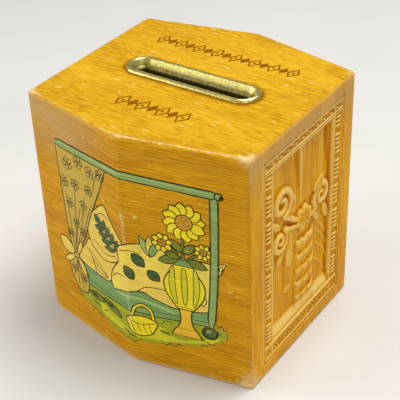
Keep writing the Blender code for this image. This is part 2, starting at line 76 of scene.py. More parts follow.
# The hexagon and its roundings
RIDGE_OUT = 0.105 * 2 * HALF_WIDTH
CORNER_ROUND = 1.5
RIDGE_ROUND = 3.2
TOP_ROUND = 1.3
BOTTOM_ROUND = 1.1
LEAST_ROUND = 0.6
SIDE_GRAIN, BACK_GRAIN = 300, 200  # set the grain of these walls apart from the front's
FLAT_ENOUGH = 0.75  # an upward normal of more than this belongs to the flat top
SIDEWAYS = 0.6  # and a sideways one of more than this to a side
RIDGE_Y = TOP_HIGH[1] + RIDGE_ROUND * (1 / math.cos(math.atan(RIDGE_OUT / HALF_WIDTH)) - 1)
CORNER_Y = RIDGE_Y - RIDGE_OUT
ARC_STEPS = 8  # on each half of a rounded corner
FRONT_LEFT, FRONT_RIDGE, FRONT_RIGHT, BACK_RIGHT, BACK_RIDGE, BACK_LEFT = range(6)
RIDGES = (FRONT_RIDGE, BACK_RIDGE)

# How worn each corner is, from the front left one anticlockwise, and how far that wear reaches
TOP_WEAR, TOP_REACH = (0.85, 0.4, 1.0, 0.7, 0.2, 0.3), 3.2
UPRIGHT_WEAR, UPRIGHT_REACH = (0.34, 0.16, 0.42, 0.3, 0.16, 0.26), 1.7
FOOT_WEAR, FOOT_REACH = (0.5, 0.35, 1.35, 0.5, 0.3, 0.4), 4.5

# The print: thin sheets, each a little above the one before, on wood that is sunk to make room
PRINT_SINK = 0.2
SHEET_FOOT = -0.06
SHEET_LOW = 0.012
SHEET_STEP = 0.00035
INK = 0.42  # the width of an outline
PRINT_LIFT = 1.28
POINTED = 0.45  # how wide an open line is at its ends
VASE_MIDDLE = 19.4  # how far right of the ridge

# The lacquer
RIB_PITCH = 1.05  # of the fine wavy ribs in it
BROAD = 0.25  # the strength of its broad tone changes
# the colour of the painted sheen, reflected light on the lacquer
SHEEN_TINT = (200, 160, 100)

FLOOR = 1500  # half its width


def srgb(red, green, blue):
    """A linear colour from one as a screen gives it."""
    parts = [value / 255 for value in (red, green, blue)]
    return tuple(c / 12.92 if c <= 0.04045 else ((c + 0.055) / 1.055) ** 2.4 for c in parts) + (1.0,)


def print_tint(red, green, blue):
    """A printed colour, lifted because the front stands in weaker light than the top."""
    return tuple(min(1.0, PRINT_LIFT * part) for part in srgb(red, green, blue)[:3]) + (1.0,)


RAIL_GREEN = print_tint(132, 162, 96)
PALE_GREEN = print_tint(160, 184, 112)
DEEP_GREEN = print_tint(58, 88, 44)
BED_TEAL = print_tint(112, 152, 92)
CURTAIN = print_tint(190, 162, 58)
CREAM = print_tint(240, 204, 84)
SHADE_CREAM = print_tint(222, 194, 82)
YELLOW = print_tint(240, 210, 24)
HEART = print_tint(190, 138, 30)
HEART_LIGHT = print_tint(224, 180, 40)
GRASS = print_tint(154, 160, 22)
GRASS_LIGHT = print_tint(200, 196, 34)
SHADE_GREEN = print_tint(112, 122, 26)
LEAF_GREEN = print_tint(112, 126, 36)
INK_BLACK = srgb(34, 34, 22)
STAMP_BROWN = srgb(132, 82, 0)


def smooth_step(x):
    x = np.clip(x, 0, 1)
    return x * x * (3 - 2 * x)


def between(x, low, high, soft):
    """1 between two values and 0 outside them, with soft edges inside."""
    return smooth_step((x - low) / soft) * smooth_step((high - x) / soft)


# The hexagon in plan


def hexagon_corners():
    x, y = HALF_WIDTH, CORNER_Y
    return np.array([(-x, -y), (0, -RIDGE_Y), (x, -y), (x, y), (0, RIDGE_Y), (-x, y)])


def corner_normals(index):
    """Outward normals of the edges before and after a corner."""
    corners = hexagon_corners()
    before = corners[index] - corners[index - 1]
    after = corners[(index + 1) % 6] - corners[index]
    return [np.array((d[1], -d[0])) / np.hypot(*d) for d in (before, after)]


def inset_corner(index, distance):
    """A corner of the hexagon that is that much smaller on every side."""
    first, second = corner_normals(index)
    return hexagon_corners()[index] - (first + second) * distance / (1 + first @ second)


def corner_arc(index, inset=0.0):
    """Points round a corner, and the outward normal at each."""
    radius = max((RIDGE_ROUND if index in RIDGES else CORNER_ROUND) - inset, LEAST_ROUND)
    first, second = corner_normals(index)
    start = math.atan2(first[1], first[0])
    turn = math.acos(first @ second)
    angles = start + turn * np.linspace(0, 1, 2 * ARC_STEPS + 1)
    normals = np.column_stack((np.cos(angles), np.sin(angles)))
    return inset_corner(index, inset + radius) + normals * radius, normals


def edge_points(start, end, count):
    """The points between two ends, without them."""
    return start + (end - start) * (np.arange(1, count) / count)[:, None]


def wall_columns(index, spacing):
    """Points along the outside of a wall from mitre to mitre, their normals, and their distance along."""
    start, start_normals = corner_arc(index)
    end, end_normals = corner_arc((index + 1) % 6)
    count = round(math.dist(start[-1], end[0]) / spacing)
    middle = edge_points(start[-1], end[0], count)
    points = np.concatenate((start[ARC_STEPS:], middle, end[: ARC_STEPS + 1]))
    flat = np.repeat(start_normals[-1:], len(middle), axis=0)
    normals = np.concatenate((start_normals[ARC_STEPS:], flat, end_normals[: ARC_STEPS + 1]))
    steps = np.hypot(*np.diff(points, axis=0).T)
    return points, normals, np.concatenate(([0], np.cumsum(steps)))


def outline_ring(inset):
    """The whole outline at an inset, with the same number of points at every inset."""
    ring = []
    for index in range(6):
        here, _ = corner_arc(index, inset)
        ahead, _ = corner_arc((index + 1) % 6, inset)
        full_start, full_end = corner_arc(index)[0][-1], corner_arc((index + 1) % 6)[0][0]
        count = round(math.dist(full_start, full_end) / TOP_SPACING)
        ring += [*here, *edge_points(here[-1], ahead[0], count)]
    return np.array(ring)


# Meshes


def add_piece(name, points, faces, finishes, face_finish=None, sharp=80, attributes=None):
    """A smooth object from points in millimetres."""
    mesh = bpy.data.meshes.new(name)
    mesh.from_pydata((np.asarray(points, float) * MM).tolist(), [], faces)
    for finish in finishes:
        mesh.materials.append(finish)
    if face_finish is not None:
        mesh.polygons.foreach_set("material_index", face_finish)
    for key, values in (attributes or {}).items():
        values = np.asarray(values, np.float32)
        kind = {1: "FLOAT", 3: "FLOAT_VECTOR", 4: "FLOAT_COLOR"}[1 if values.ndim == 1 else values.shape[1]]
        field = {"FLOAT": "value", "FLOAT_VECTOR": "vector", "FLOAT_COLOR": "color"}[kind]
        mesh.attributes.new(key, kind, "POINT").data.foreach_set(field, values.ravel())
    mesh.validate()
    mesh.shade_smooth()
    mesh.set_sharp_from_angle(angle=math.radians(sharp))
    made = bpy.data.objects.new(name, mesh)
    bpy.context.scene.collection.objects.link(made)
    return made


def grid_faces(rows, columns, closed=False):
    """Quads of a grid whose points run row by row."""
    quads = []
    for row in range(rows - 1):
        for column in range(columns if closed else columns - 1):
            ahead = (column + 1) % columns
            low, high = row * columns, (row + 1) * columns
            quads.append((low + column, low + ahead, high + ahead, high + column))
    return quads


def wear_of(points, is_wall):
    """How worn each point is: near the top's corners, and on a wall near its edges and its foot's corners."""
    total = np.zeros(len(points))
    for index, corner in enumerate(hexagon_corners()):
        apart = np.hypot(points[:, 0] - corner[0], points[:, 1] - corner[1])
        total += TOP_WEAR[index] * np.exp(-np.hypot(apart, points[:, 2] - HEIGHT) / TOP_REACH)
        if is_wall:
            total += UPRIGHT_WEAR[index] * np.exp(-apart / UPRIGHT_REACH)
            total += FOOT_WEAR[index] * np.exp(-np.hypot(apart, points[:, 2]) / FOOT_REACH)
    return total


def wall_rows(spacing):
    """(height, inset) of a wall's rows, from the rounded foot to the top board."""
    turns = [math.pi / 2 * step / 6 for step in range(7)]
    foot = [(BOTTOM_ROUND * (1 - math.cos(a)), BOTTOM_ROUND * (1 - math.sin(a))) for a in turns]
    count = round((CEILING - BOTTOM_ROUND) / spacing)
    heights = BOTTOM_ROUND + (CEILING - BOTTOM_ROUND) * np.arange(1, count + 1) / count
    return np.array(foot + [(height, 0) for height in heights])


def inner_face(corners, pocket):
    """A wall's inner face through four corners; a pocket is its rim's four points and its floor's four."""
    if not pocket:
        return corners, [(0, 1, 2, 3)]
    points = [*corners, *pocket]
    faces = [(8, 9, 10, 11)]
    for first in range(4):
        second = (first + 1) % 4
        faces.append((first, second, 4 + second, 4 + first))
        faces.append((4 + first, 4 + second, 8 + second, 8 + first))
    return points, faces


def nothing(along, z):
    return np.zeros_like(z)


def shell_faces(rows, columns):
    """A wall's outside and its four edges. Its four inner corners follow the outer points."""
    end_low, start_low, start_high, end_high = range(rows * columns, rows * columns + 4)
    top = (rows - 1) * columns
    faces = grid_faces(rows, columns)
    faces.append([*reversed(range(columns)), start_low, end_low])
    faces.append([*range(top, top + columns), end_high, start_high])
    faces.append([*range(0, top + 1, columns), start_high, start_low])
    faces.append([end_low, end_high, *reversed(range(columns - 1, top + columns, columns))])
    return faces


def make_wall(name, index, finishes, spacing, sink, place, pocket=(), wear=nothing, highlight=nothing):
    """A wall from mitre to mitre.

    sink gives the depth of each outer point, place its grain coordinates, wear how much paler it is in
    patches and highlight how much painted highlight it gets all over.
    """
    points, normals, along = wall_columns(index, spacing)
    rows = wall_rows(spacing)
    columns = len(points)
    along = along - along[-1] / 2
    z = np.repeat(rows[:, 0], columns)
    distance = np.tile(along, len(rows))
    depth = np.repeat(rows[:, 1], columns) + sink(distance, z)
    plan = np.tile(points, (len(rows), 1)) - np.tile(normals, (len(rows), 1)) * depth[:, None]
    outside = np.column_stack((plan, z))
    start, end = inset_corner(index, WALL), inset_corner((index + 1) % 6, WALL)
    corners = [(*end, 0), (*start, 0), (*start, CEILING), (*end, CEILING)]
    inside, inside_faces = inner_face(corners, pocket)
    first = len(outside)
    faces = shell_faces(len(rows), columns)
    finished = len(faces) - 3  # the outside and the lower edge; the rest is bare
    faces += [[first + corner for corner in face] for face in inside_faces]
    everything = np.concatenate((outside, np.array(inside)))
    worn = wear_of(everything, is_wall=True)
    worn += 0.5 * np.exp(-everything[:, 2] / 0.9)
    worn[:first] += wear(distance, z)
    # Painted shade and highlight: positive where the relief sinks below its surroundings, which paints it
    # darker, and negative where it stands out or gets a painted highlight, which paints it paler.
    shade_and_highlight = np.zeros(len(everything))
    shade_and_highlight[:first] = cavity_of(depth.reshape(len(rows), columns)).ravel() - highlight(distance, z)
    grain = np.column_stack((everything[:, 1], everything[:, 0], everything[:, 2]))
    grain[:first] = place(distance, z, depth)
    which = [0] * finished + [1] * (len(faces) - finished)
    attributes = {"grain": grain, "wear": worn, "shade_and_highlight": shade_and_highlight}
    return add_piece(name, everything, faces, finishes, which, attributes=attributes)


def cavity_of(depth):
    """How much deeper each point of a grid is than its neighbourhood, and negative where it stands out;
    painted shade and painted highlight follow it.
    """
    blurred = depth.copy()
    for _ in range(4):
        padded = np.pad(blurred, 2, mode="edge")
        rows = sum(padded[shift : shift + depth.shape[0], 2:-2] for shift in range(5)) / 5
        padded = np.pad(rows, 2, mode="edge")
        blurred = sum(padded[2:-2, shift : shift + depth.shape[1]] for shift in range(5)) / 5
    return depth - blurred


# The relief in the side panels: everything is a height or depth over (v, z), v towards the back
# The highest of the raised parts counts at each point.

FRAME_HALF = 23.8
FRAME_FOOT, FRAME_TOP = 4.7, 79.5
FIELD_FRONT, FIELD_BACK = -17.9, 18.2
FIELD_TOP = 73.6
SILL_HIGH, SILL_LOW = 14.7, 9.9
FIELD_DEEP = 2.0
BAND_DEEP = 0.8
BEAD_PITCH = 1.55
BEADS_IN_GROUP = 5
PILE_FOOT, DISC_HIGH = 13.6, 5.3  # where the pile of discs stands, and each disc's height
FRONT_BEADS, BACK_BEADS = (-20.5, 1.75), (21.1, 1.75)  # middle and half width of each band


def ridge_line(x, half):
    """A rounded raised line."""
    return np.sqrt(np.clip(1 - (x / half) ** 2, 0, 1))


def bead_band(v, z, middle, half):
    """Short slanted beads up a band, in groups with a small gap between them."""
    period = (BEADS_IN_GROUP + 1.1) * BEAD_PITCH
    along = np.mod(z - 12 + 0.18 * (v - middle), period)
    beat = np.mod(along, BEAD_PITCH) - BEAD_PITCH / 2
    bead = ridge_line(beat, 0.4 * BEAD_PITCH) * ridge_line(v - middle, half)
    return bead * (along < BEADS_IN_GROUP * BEAD_PITCH) * between(z, 12, 73.5, 0.6)


def frame_depth(v, z):
    """The moulded frame round the field: raised lines and beads on a slightly sunk band."""
    inside = between(v, -FRAME_HALF, FRAME_HALF + 0.6, 0.35) * between(z, FRAME_FOOT, FRAME_TOP, 0.35)
    raised = [bead_band(v, z, *FRONT_BEADS), bead_band(v, z, *BACK_BEADS)]
    across = between(v, -FRAME_HALF + 0.9, FRAME_HALF - 0.4, 0.3)
    for height, half in ((78.9, 0.4), (78, 0.32), (75.2, 0.32), (74.2, 0.42), (10.3, 0.5), (5.7, 0.6)):
        raised.append(across * ridge_line(z - height, half))
    upright = between(z, FRAME_FOOT + 0.4, FRAME_TOP - 0.6, 0.3)
    for side, half in ((-FRAME_HALF + 1.0, 0.45), (-18.3, 0.4), (18.6, 0.4), (FRAME_HALF - 0.1, 0.5)):
        raised.append(0.8 * upright * ridge_line(v - side, half))
    step_up = 0.42 * np.sign(np.sin(math.pi * v / 2.1))
    row = ridge_line(np.mod(v, 2.1) - 1.05, 0.85) * ridge_line(z - 76.6 - step_up, 0.36)
    raised.append(0.9 * across * row)
    dots = np.cos(v * 3.6) * np.cos((z - 8.1) * 3.6)
    foot_band = between(z, 6.4, 9.8, 0.3) * between(v, -22, 22.5, 0.5)
    raised.append(0.55 * foot_band * smooth_step(dots * 1.6))
    return inside * BAND_DEEP * (1 - 0.95 * np.maximum.reduce(raised))


def spiral(centre, radius, start, turns, left_handed=False):
    """A volute that winds inwards."""
    t = np.linspace(0, 1, 44)
    angle = math.radians(start) + (1 if left_handed else -1) * turns * 2 * math.pi * t
    reach = radius * (1 - 0.8 * t)
    return np.column_stack((centre[0] + reach * np.cos(angle), centre[1] + reach * np.sin(angle)))


def curve(points, steps=10, closed=False):
    """A smooth line through points (Catmull-Rom)."""
    points = np.asarray(points, float)
    count = len(points)
    if closed:
        knots = [points[(i - 1) % count] for i in range(count + 3)]
    else:
        knots = [2 * points[0] - points[1], *points, 2 * points[-1] - points[-2]]
    line = []
    for a, b, c, d in zip(knots, knots[1:], knots[2:], knots[3:]):
        bend, twist = 2 * a - 5 * b + 4 * c - d, 3 * b - a - 3 * c + d
        for t in np.arange(steps) / steps:
            line.append(0.5 * (2 * b + (c - a) * t + bend * t**2 + twist * t**3))
    if not closed:
        line.append(points[-1])
    return np.array(line)


def tube(v, z, path, radius, height, taper=0.0):
    """A raised stroke with a round section along a path, thinner towards its end."""
    best = np.zeros_like(v)
    for step, (x, y) in enumerate(path):
        here = radius * (1 - taper * step / len(path))
        apart = ((v - x) ** 2 + (z - y) ** 2) / here**2
        best = np.maximum(best, np.clip(1 - apart, 0, 1) * (here / radius) ** 2)
    return height * np.sqrt(best)


def leaf(v, z, base, tip, half, height):
    """A raised pointed leaf with a sunk midrib."""
    base, tip = np.array(base), np.array(tip)
    length = math.dist(base, tip)
    direction = (tip - base) / length
    s = ((v - base[0]) * direction[0] + (z - base[1]) * direction[1]) / length
    across = (v - base[0]) * -direction[1] + (z - base[1]) * direction[0]
    width = half * np.sqrt(np.clip(np.sin(math.pi * np.clip(s, 0, 1)), 1e-6, 1))
    body = np.clip(1 - (across / width) ** 2, 0, 1) * ((s > 0) & (s < 1))
    rib = 0.35 * np.exp(-((across / 0.3) ** 2))
    return height * np.sqrt(body) * (1 - rib)


def scrollwork(v, z):
    """Volutes, a rosette and leaves across the middle of the field."""
    strokes = (
        (spiral((-11.2, 58.2), 5.6, -70, 1.45, left_handed=True), 1.35),
        (spiral((-12.4, 45.2), 4.3, 40, 1.4), 1.25),
        (spiral((12.9, 48.6), 4.9, 215, 1.45), 1.35),
        (curve([(-9.6, 52.9), (-6.4, 50.6), (-3.6, 48.2), (-1, 47)]), 1.3),
        (curve([(-9.1, 48), (-6.5, 46.6), (-2.6, 45.6)]), 1.1),
        (curve([(4.6, 45.8), (6.8, 44.6), (8.9, 45.9)]), 1.3),
    )
    leaves = (
        ((-6.8, 46.5), (-7.6, 32.8), 2.1, 1.35),
        ((-6.2, 51), (-3.8, 57.6), 1.7, 1.2),
        ((-16.2, 53.4), (-12.6, 50), 1.4, 1.2),
        ((-9.3, 41.9), (-13.6, 37.2), 1.5, 1.1),
        ((7.6, 52.6), (13.6, 55.6), 1.6, 1.3),
        ((14.6, 43.8), (17.4, 37.6), 1.5, 1.2),
        ((8.6, 43.9), (11.4, 39.8), 1.3, 1.1),
    )
    middle = (1.7, 46.3)
    raised = [tube(v, z, [middle], 1.4, 1.75)]
    raised += [tube(v, z, path, radius, 1.55, taper=0.25) for path, radius in strokes]
    raised += [leaf(v, z, *each) for each in leaves]
    for petal in range(6):
        turn = math.radians(60 * petal + 15)
        tip = (middle[0] + 4.7 * math.cos(turn), middle[1] + 4.7 * math.sin(turn))
        raised.append(leaf(v, z, middle, tip, 1.9, 1.45))
    return np.maximum.reduce(raised)


def coin_stack(v, z):
    """A leaning pile of plain discs, each with a drooping edge, and one disc lying beside it."""
    lying = ((v + 7.5) / 2.5) ** 2 + ((z - 24) / 1.4) ** 2
    raised = [0.5 * smooth_step((1 - lying) * 2)]
    for tier in range(5):
        foot = PILE_FOOT + DISC_HIGH * tier
        middle = 3.1 + (0.25, -0.3, 0.35, -0.25, 0.2)[tier]
        half = 6.1 - 0.12 * tier
        s = np.clip((v - middle) / half, -1, 1)
        lobe = np.abs(np.cos(1.5 * math.pi * (s + 0.12 * (-1) ** tier)))
        droop = 1.3 * np.sqrt(1 - s**2) + 0.6 * np.sqrt(lobe)
        t = (z - foot + droop) / DISC_HIGH
        inside = ((t >= 0) & (t < 1) & (np.abs(s) < 1)).astype(float)
        lip = 0.5 + 0.75 * smooth_step(t * 1.25) - 0.3 * smooth_step((t - 0.86) / 0.14)
        raised.append(inside * lip * (0.72 + 0.28 * np.sqrt(lobe)) * np.sqrt(np.clip(1 - s**4, 0, 1)))
    return np.maximum.reduce(raised)


def sprigs(v, z):
    """Faint slanting stems beside the pile."""
    raised = []
    for x, y, length in ((10.5, 36, 9), (11, 30.5, 9), (10.5, 24.5, 8.5), (11.5, 38.5, 7)):
        path = curve([(x, y), (x + 0.45 * length, y - 0.45 * length), (x + 0.8 * length, y - length)])
        raised.append(tube(v, z, path, 0.55, 0.32))
    return np.maximum.reduce(raised)


def field_depth(v, z):
    """The sunk field with its sloping sill, the flat strip that hangs into it, and the carving on it."""
    window = between(v, FIELD_FRONT, FIELD_BACK, 0.45) * smooth_step((FIELD_TOP - z) / 0.4)
    slope = np.clip((z - SILL_LOW) / (SILL_HIGH - SILL_LOW), 0, 1)
    strip = between(v, -0.5, 13.5, 0.5) * between(z, 50, 80, 3)
    grooves = (between(v, -4, -0.2, 0.9) + between(v, 13.8, 17.6, 0.9)) * smooth_step((z - 54) / 14)
    carving = np.maximum.reduce((scrollwork(v, z), coin_stack(v, z), sprigs(v, z)))
    deep = FIELD_DEEP * slope + (0.8 * grooves - 0.6 * strip) * slope - carving * np.minimum(slope * 2.2, 1)
    return window * np.maximum(deep, 0)


def relief_depth(v, z):
    """The frame and the field together."""
    framed = frame_depth(v, z)
    field = field_depth(v, z)
    return np.where(field > 0, np.maximum(field, framed * (field < BAND_DEEP)), framed)


# The boards


def front_sink(u, z):
    """The front is a hair below the CAD surface where the print lies, and level with it at its edges."""
    return PRINT_SINK * between(np.abs(u), -99, 38.5, 2.5) * smooth_step((CEILING - 1 - z) / 3)


def front_wear(u, z):
    """Flakes down the front ridge."""
    spots = 0.5 * between(z, 44, 61, 4) + 0.55 * between(z, 10, 37, 4) + 0.2 * between(z, 64, 80, 4)
    return spots * np.exp(-((u / 1.1) ** 2))


def relief_highlight(v, z):
    """Painted highlight on the relief: on the field's upward-facing sill and on the tops of the beads."""
    sill = between(z, SILL_LOW + 0.5, SILL_HIGH + 0.4, 1) * between(v, FIELD_FRONT + 0.4, FIELD_BACK - 0.4, 1)
    beads = bead_band(v, z, *FRONT_BEADS) + bead_band(v, z, *BACK_BEADS)
    return 0.28 * sill + 0.12 * beads


def cross_grain(offset):
    """Grain that runs along a wall."""
    return lambda along, z, depth: np.column_stack((along + offset, z, depth))


def upright_grain(offset):
    """Grain that runs up a wall."""
    return lambda along, z, depth: np.column_stack((z + offset, along, depth))


def strike_pocket():
    """The rebate in the right side panel that the strike plate is let into."""
    y = STRIKE_HIGH[1] + 0.3
    low, high = STRIKE_LOW[2] - 0.3, STRIKE_HIGH[2] + 0.3
    face = PANEL_LOW[0]
    floor = STRIKE_HIGH[0] + 0.4
    rim = [(y, low), (-y, low), (-y, high), (y, high)]
    return [(x, *point) for x in (face, floor) for point in rim]


def make_walls(woods):
    """Four plain walls, and the two side panels with their relief."""
    half = wall_columns(FRONT_LEFT, PLAIN_SPACING)[2][-1] / 2
    fronts = (("front_left", FRONT_LEFT, -half), ("front_right", FRONT_RIDGE, half))
    backs = (("back_right", BACK_RIGHT, -half), ("back_left", BACK_RIDGE, half))
    for side, index, offset in fronts:
        finishes = woods["front"], woods["bare"]
        sink = lambda along, z, shift=offset: front_sink(along + shift, z)
        wear = lambda along, z, shift=offset: front_wear(along + shift, z)
        grain = cross_grain(offset)
        made = make_wall(side + "_boards", index, finishes, PLAIN_SPACING, sink, grain, wear=wear)
        claim(made, side + "_wall")
    for side, index, offset in backs:
        finishes = woods["back"], woods["bare"]
        grain = cross_grain(offset + BACK_GRAIN)
        made = make_wall(side + "_boards", index, finishes, PLAIN_SPACING, nothing, grain)
        claim(made, side + "_wall")
    for side, index, sign in (("right", FRONT_RIGHT, 1), ("left", BACK_LEFT, -1)):
        finishes = woods["side"], woods["bare"]
        sink = lambda along, z, sign=sign: relief_depth(along * sign, z)
        # Painted highlight on the sill and the beads.
        highlight = lambda along, z, sign=sign: relief_highlight(along * sign, z)
        grain = upright_grain(SIDE_GRAIN * sign)
        pocket = strike_pocket() if side == "right" else ()
        made = make_wall(side + "_relief", index, finishes, RELIEF_SPACING, sink, grain, pocket, highlight=highlight)
        claim(made, side + "_side_panel")


def claim(made, node):
    """The piece stands for one of the box's CAD nodes: it hides that node and joins the box."""
    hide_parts(node)
    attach(made, "box")


def dent(point):
    """How far the top's worn edge is pressed in at a point."""
    rough = noise.noise(Vector(point) * 0.35) + 0.5 * noise.noise(Vector(point) * 1.1)
    return 0.16 * max(0.0, rough)


def stadium(edge, steps):
    """A rounded slot outline, that far from the coin slot's middle line, anticlockwise."""
    turns = np.linspace(-math.pi / 2, math.pi / 2, steps + 1)
    right = np.column_stack((HALF_SLOT + edge * np.cos(turns), edge * np.sin(turns)))
    return np.concatenate((right, -right))


def fill_between(maker, outer, inner):
    """Triangles between an outline and the hole in it."""
    edges = []
    for ring in (outer, inner):
        for first, second in zip(ring, ring[1:] + ring[:1]):
            found = maker.edges.get((first, second))
            edges.append(found or maker.edges.new((first, second)))
    before = set(maker.faces)
    bmesh.ops.triangle_fill(maker, edges=edges, use_beauty=True)
    return [face for face in maker.faces if face not in before]


def band_grain(x, y, z, normal):
    """Grain coordinates on the top board. Its edges go on with the grain of the wall below."""
    if abs(normal.z) > FLAT_ENOUGH:
        return (x, y, z)
    if abs(normal.x) > SIDEWAYS:
        side = 1 if x > 0 else -1
        return (z + side * SIDE_GRAIN, side * y, 0)
    along = x * math.hypot(1, RIDGE_OUT / HALF_WIDTH)
    return (along, z, 0) if y < 0 else (BACK_GRAIN - along, z, 0)


def band_finish(face):
    """Which of the top board's finishes a face has: top, front, side or back."""
    if face.normal.z > FLAT_ENOUGH:
        return 0
    if abs(face.normal.x) > SIDEWAYS:
        return 2
    return 1 if face.normal.y < 0 else 3


def edge_wear(x, y, inset, z):
    """Wear round the top: a bright line where it starts to round over, strongest at the front right."""
    strength = 0.1
    if y < -CORNER_Y + 3:
        strength = 0.58 if x > 0 else 0.34
    line = math.exp(-(((inset - TOP_ROUND + 0.3) / 0.4) ** 2)) if z > CEILING + 2 else 0
    return strength * line + 0.16 * math.exp(-(HEIGHT - z + max(0, inset - TOP_ROUND)) / 1.8)


def top_ring(maker, inset, z):
    """The top board's outline at an inset and a height, pressed in where the edge is dented."""
    wear_layer = maker.verts.layers.float["wear"]
    from_edge = abs(inset - 0.6) if z > CEILING + 2 else CEILING + 3 - z
    ring = []
    for (x, y), (inner_x, inner_y) in zip(outline_ring(inset), outline_ring(min(inset + 1, 11))):
        press = dent((x, y, 0)) * math.exp(-((from_edge / 1.1) ** 2)) if z > CEILING + 1 else 0
        toward = np.array((inner_x - x, inner_y - y))
        toward /= np.hypot(*toward)
        vertex = maker.verts.new((x + toward[0] * press, y + toward[1] * press, z - press * 0.6))
        vertex[wear_layer] = edge_wear(x, y, inset, z)
        ring.append(vertex)
    return ring


def make_top(woods):
    """The top board: a square side band, a rounded worn edge and a flat top round the slot's hole."""
    turns = [math.pi / 2 * step / 8 for step in range(9)]
    profile = [(0, CEILING), (0, CEILING + 1)]
    profile += [(TOP_ROUND * (1 - math.cos(a)), HEIGHT - TOP_ROUND * (1 - math.sin(a))) for a in turns]
    profile += [(inset, HEIGHT) for inset in (2.25, 2.6, 3.1, 3.8, 5, 7, 10)]
    maker = bmesh.new()
    wear_layer = maker.verts.layers.float.new("wear")
    rings = [top_ring(maker, inset, z) for inset, z in profile]
    for low, high in zip(rings, rings[1:]):
        for i in range(len(low)):
            j = (i + 1) % len(low)
            maker.faces.new((low[i], low[j], high[j], high[i]))
    low, high = ([maker.verts.new((x, y, z)) for x, y in stadium(HOLE_HALF, 20)] for z in (CEILING, HEIGHT))
    bare = []
    for i in range(len(low)):
        j = (i + 1) % len(low)
        bare.append(maker.faces.new((low[j], low[i], high[i], high[j])))
    fill_between(maker, rings[-1], high)
    bare += fill_between(maker, rings[0], low)
    bmesh.ops.recalc_face_normals(maker, faces=maker.faces)
    for face in maker.faces:
        face.material_index = band_finish(face)
    for face in bare:
        face.material_index = 4
    maker.verts.index_update()
    places = np.array([vertex.co for vertex in maker.verts])
    wear = np.array([vertex[wear_layer] for vertex in maker.verts]) + wear_of(places, is_wall=False)
    faces = [[vertex.index for vertex in face.verts] for face in maker.faces]
    which = [face.material_index for face in maker.faces]
    grain = [band_grain(*vertex.co, face.normal) for face in maker.faces for vertex in face.verts]
    maker.free()
    finishes = [woods[kind] for kind in ("top", "front", "side", "back", "bare")]
    # No painted shade or highlight on the top board.
    attributes = {"wear": wear, "shade_and_highlight": np.zeros(len(places))}
    made = add_piece("top_boards", places, faces, finishes, which, attributes=attributes)
    layer = made.data.attributes.new("grain", "FLOAT_VECTOR", "CORNER")
    layer.data.foreach_set("vector", np.array(grain, np.float32).ravel())
    claim(made, "top_board")


def make_slot_rim(finish):
    """The brass pressing round the coin slot: a rolled rim, a funnel and a throat."""
    half_width, high, low, throat = PLATE_HIGH[1], PLATE_HIGH[2], HEIGHT, PLATE_LOW[2]
    outside = [
        (half_width, low + 0.02),
        (half_width - 0.02, low + 0.35),
        (half_width - 0.25, low + 0.75),
        (half_width - 0.65, high - 0.08),
        (half_width - 1.05, high),
        (half_width - 1.5, high - 0.2),
        (3.7, 84.1),
        (3.1, 83.2),
        (2.5, SLOT_NECK),
        (1.85, 81.8),
        (1.5, 80.8),
        (1.5, throat),
    ]
    inside = [(2.1, throat), (2.1, 80.8), (2.45, 81.6), (3.1, 82.4), (4.1, 83.4), (4.3, low + 0.02)]
    profile = np.concatenate((curve(outside, steps=4), curve(inside, steps=2)))
    points, tarnish_and_shade = [], []
    for edge, z in profile:
        for x, y in stadium(edge, 24):
            press = abs(noise.noise(Vector((x * 0.22, y * 0.4, z * 0.5))) * 0.12)
            press *= between(z, low + 0.1, high + 2, 0.5)
            out = Vector((x - max(-HALF_SLOT, min(HALF_SLOT, x)), y, 0)).normalized()
            points.append((x - out.x * press, y - out.y * press, min(z, high) - press * 0.35))
            # Dull tarnish lower down the funnel, and near black deep in its throat: dirt and painted shadow
            # of the slit
            dull = 1.5 * smooth_step((high - 0.4 - z) / 1.8)
            tarnish_and_shade.append(dull + 1.6 * smooth_step((SLOT_NECK - z) / 0.9))
    columns = len(points) // len(profile)
    faces = grid_faces(len(profile), columns, closed=True)
    last = len(points) - columns
    for column in range(columns):
        ahead = (column + 1) % columns
        faces.append((last + column, last + ahead, ahead, column))
    made = add_piece("slot_rim", points, faces, [finish], sharp=50, attributes={"tarnish_and_shade": tarnish_and_shade})
    claim(made, "slot_plate")


# The print


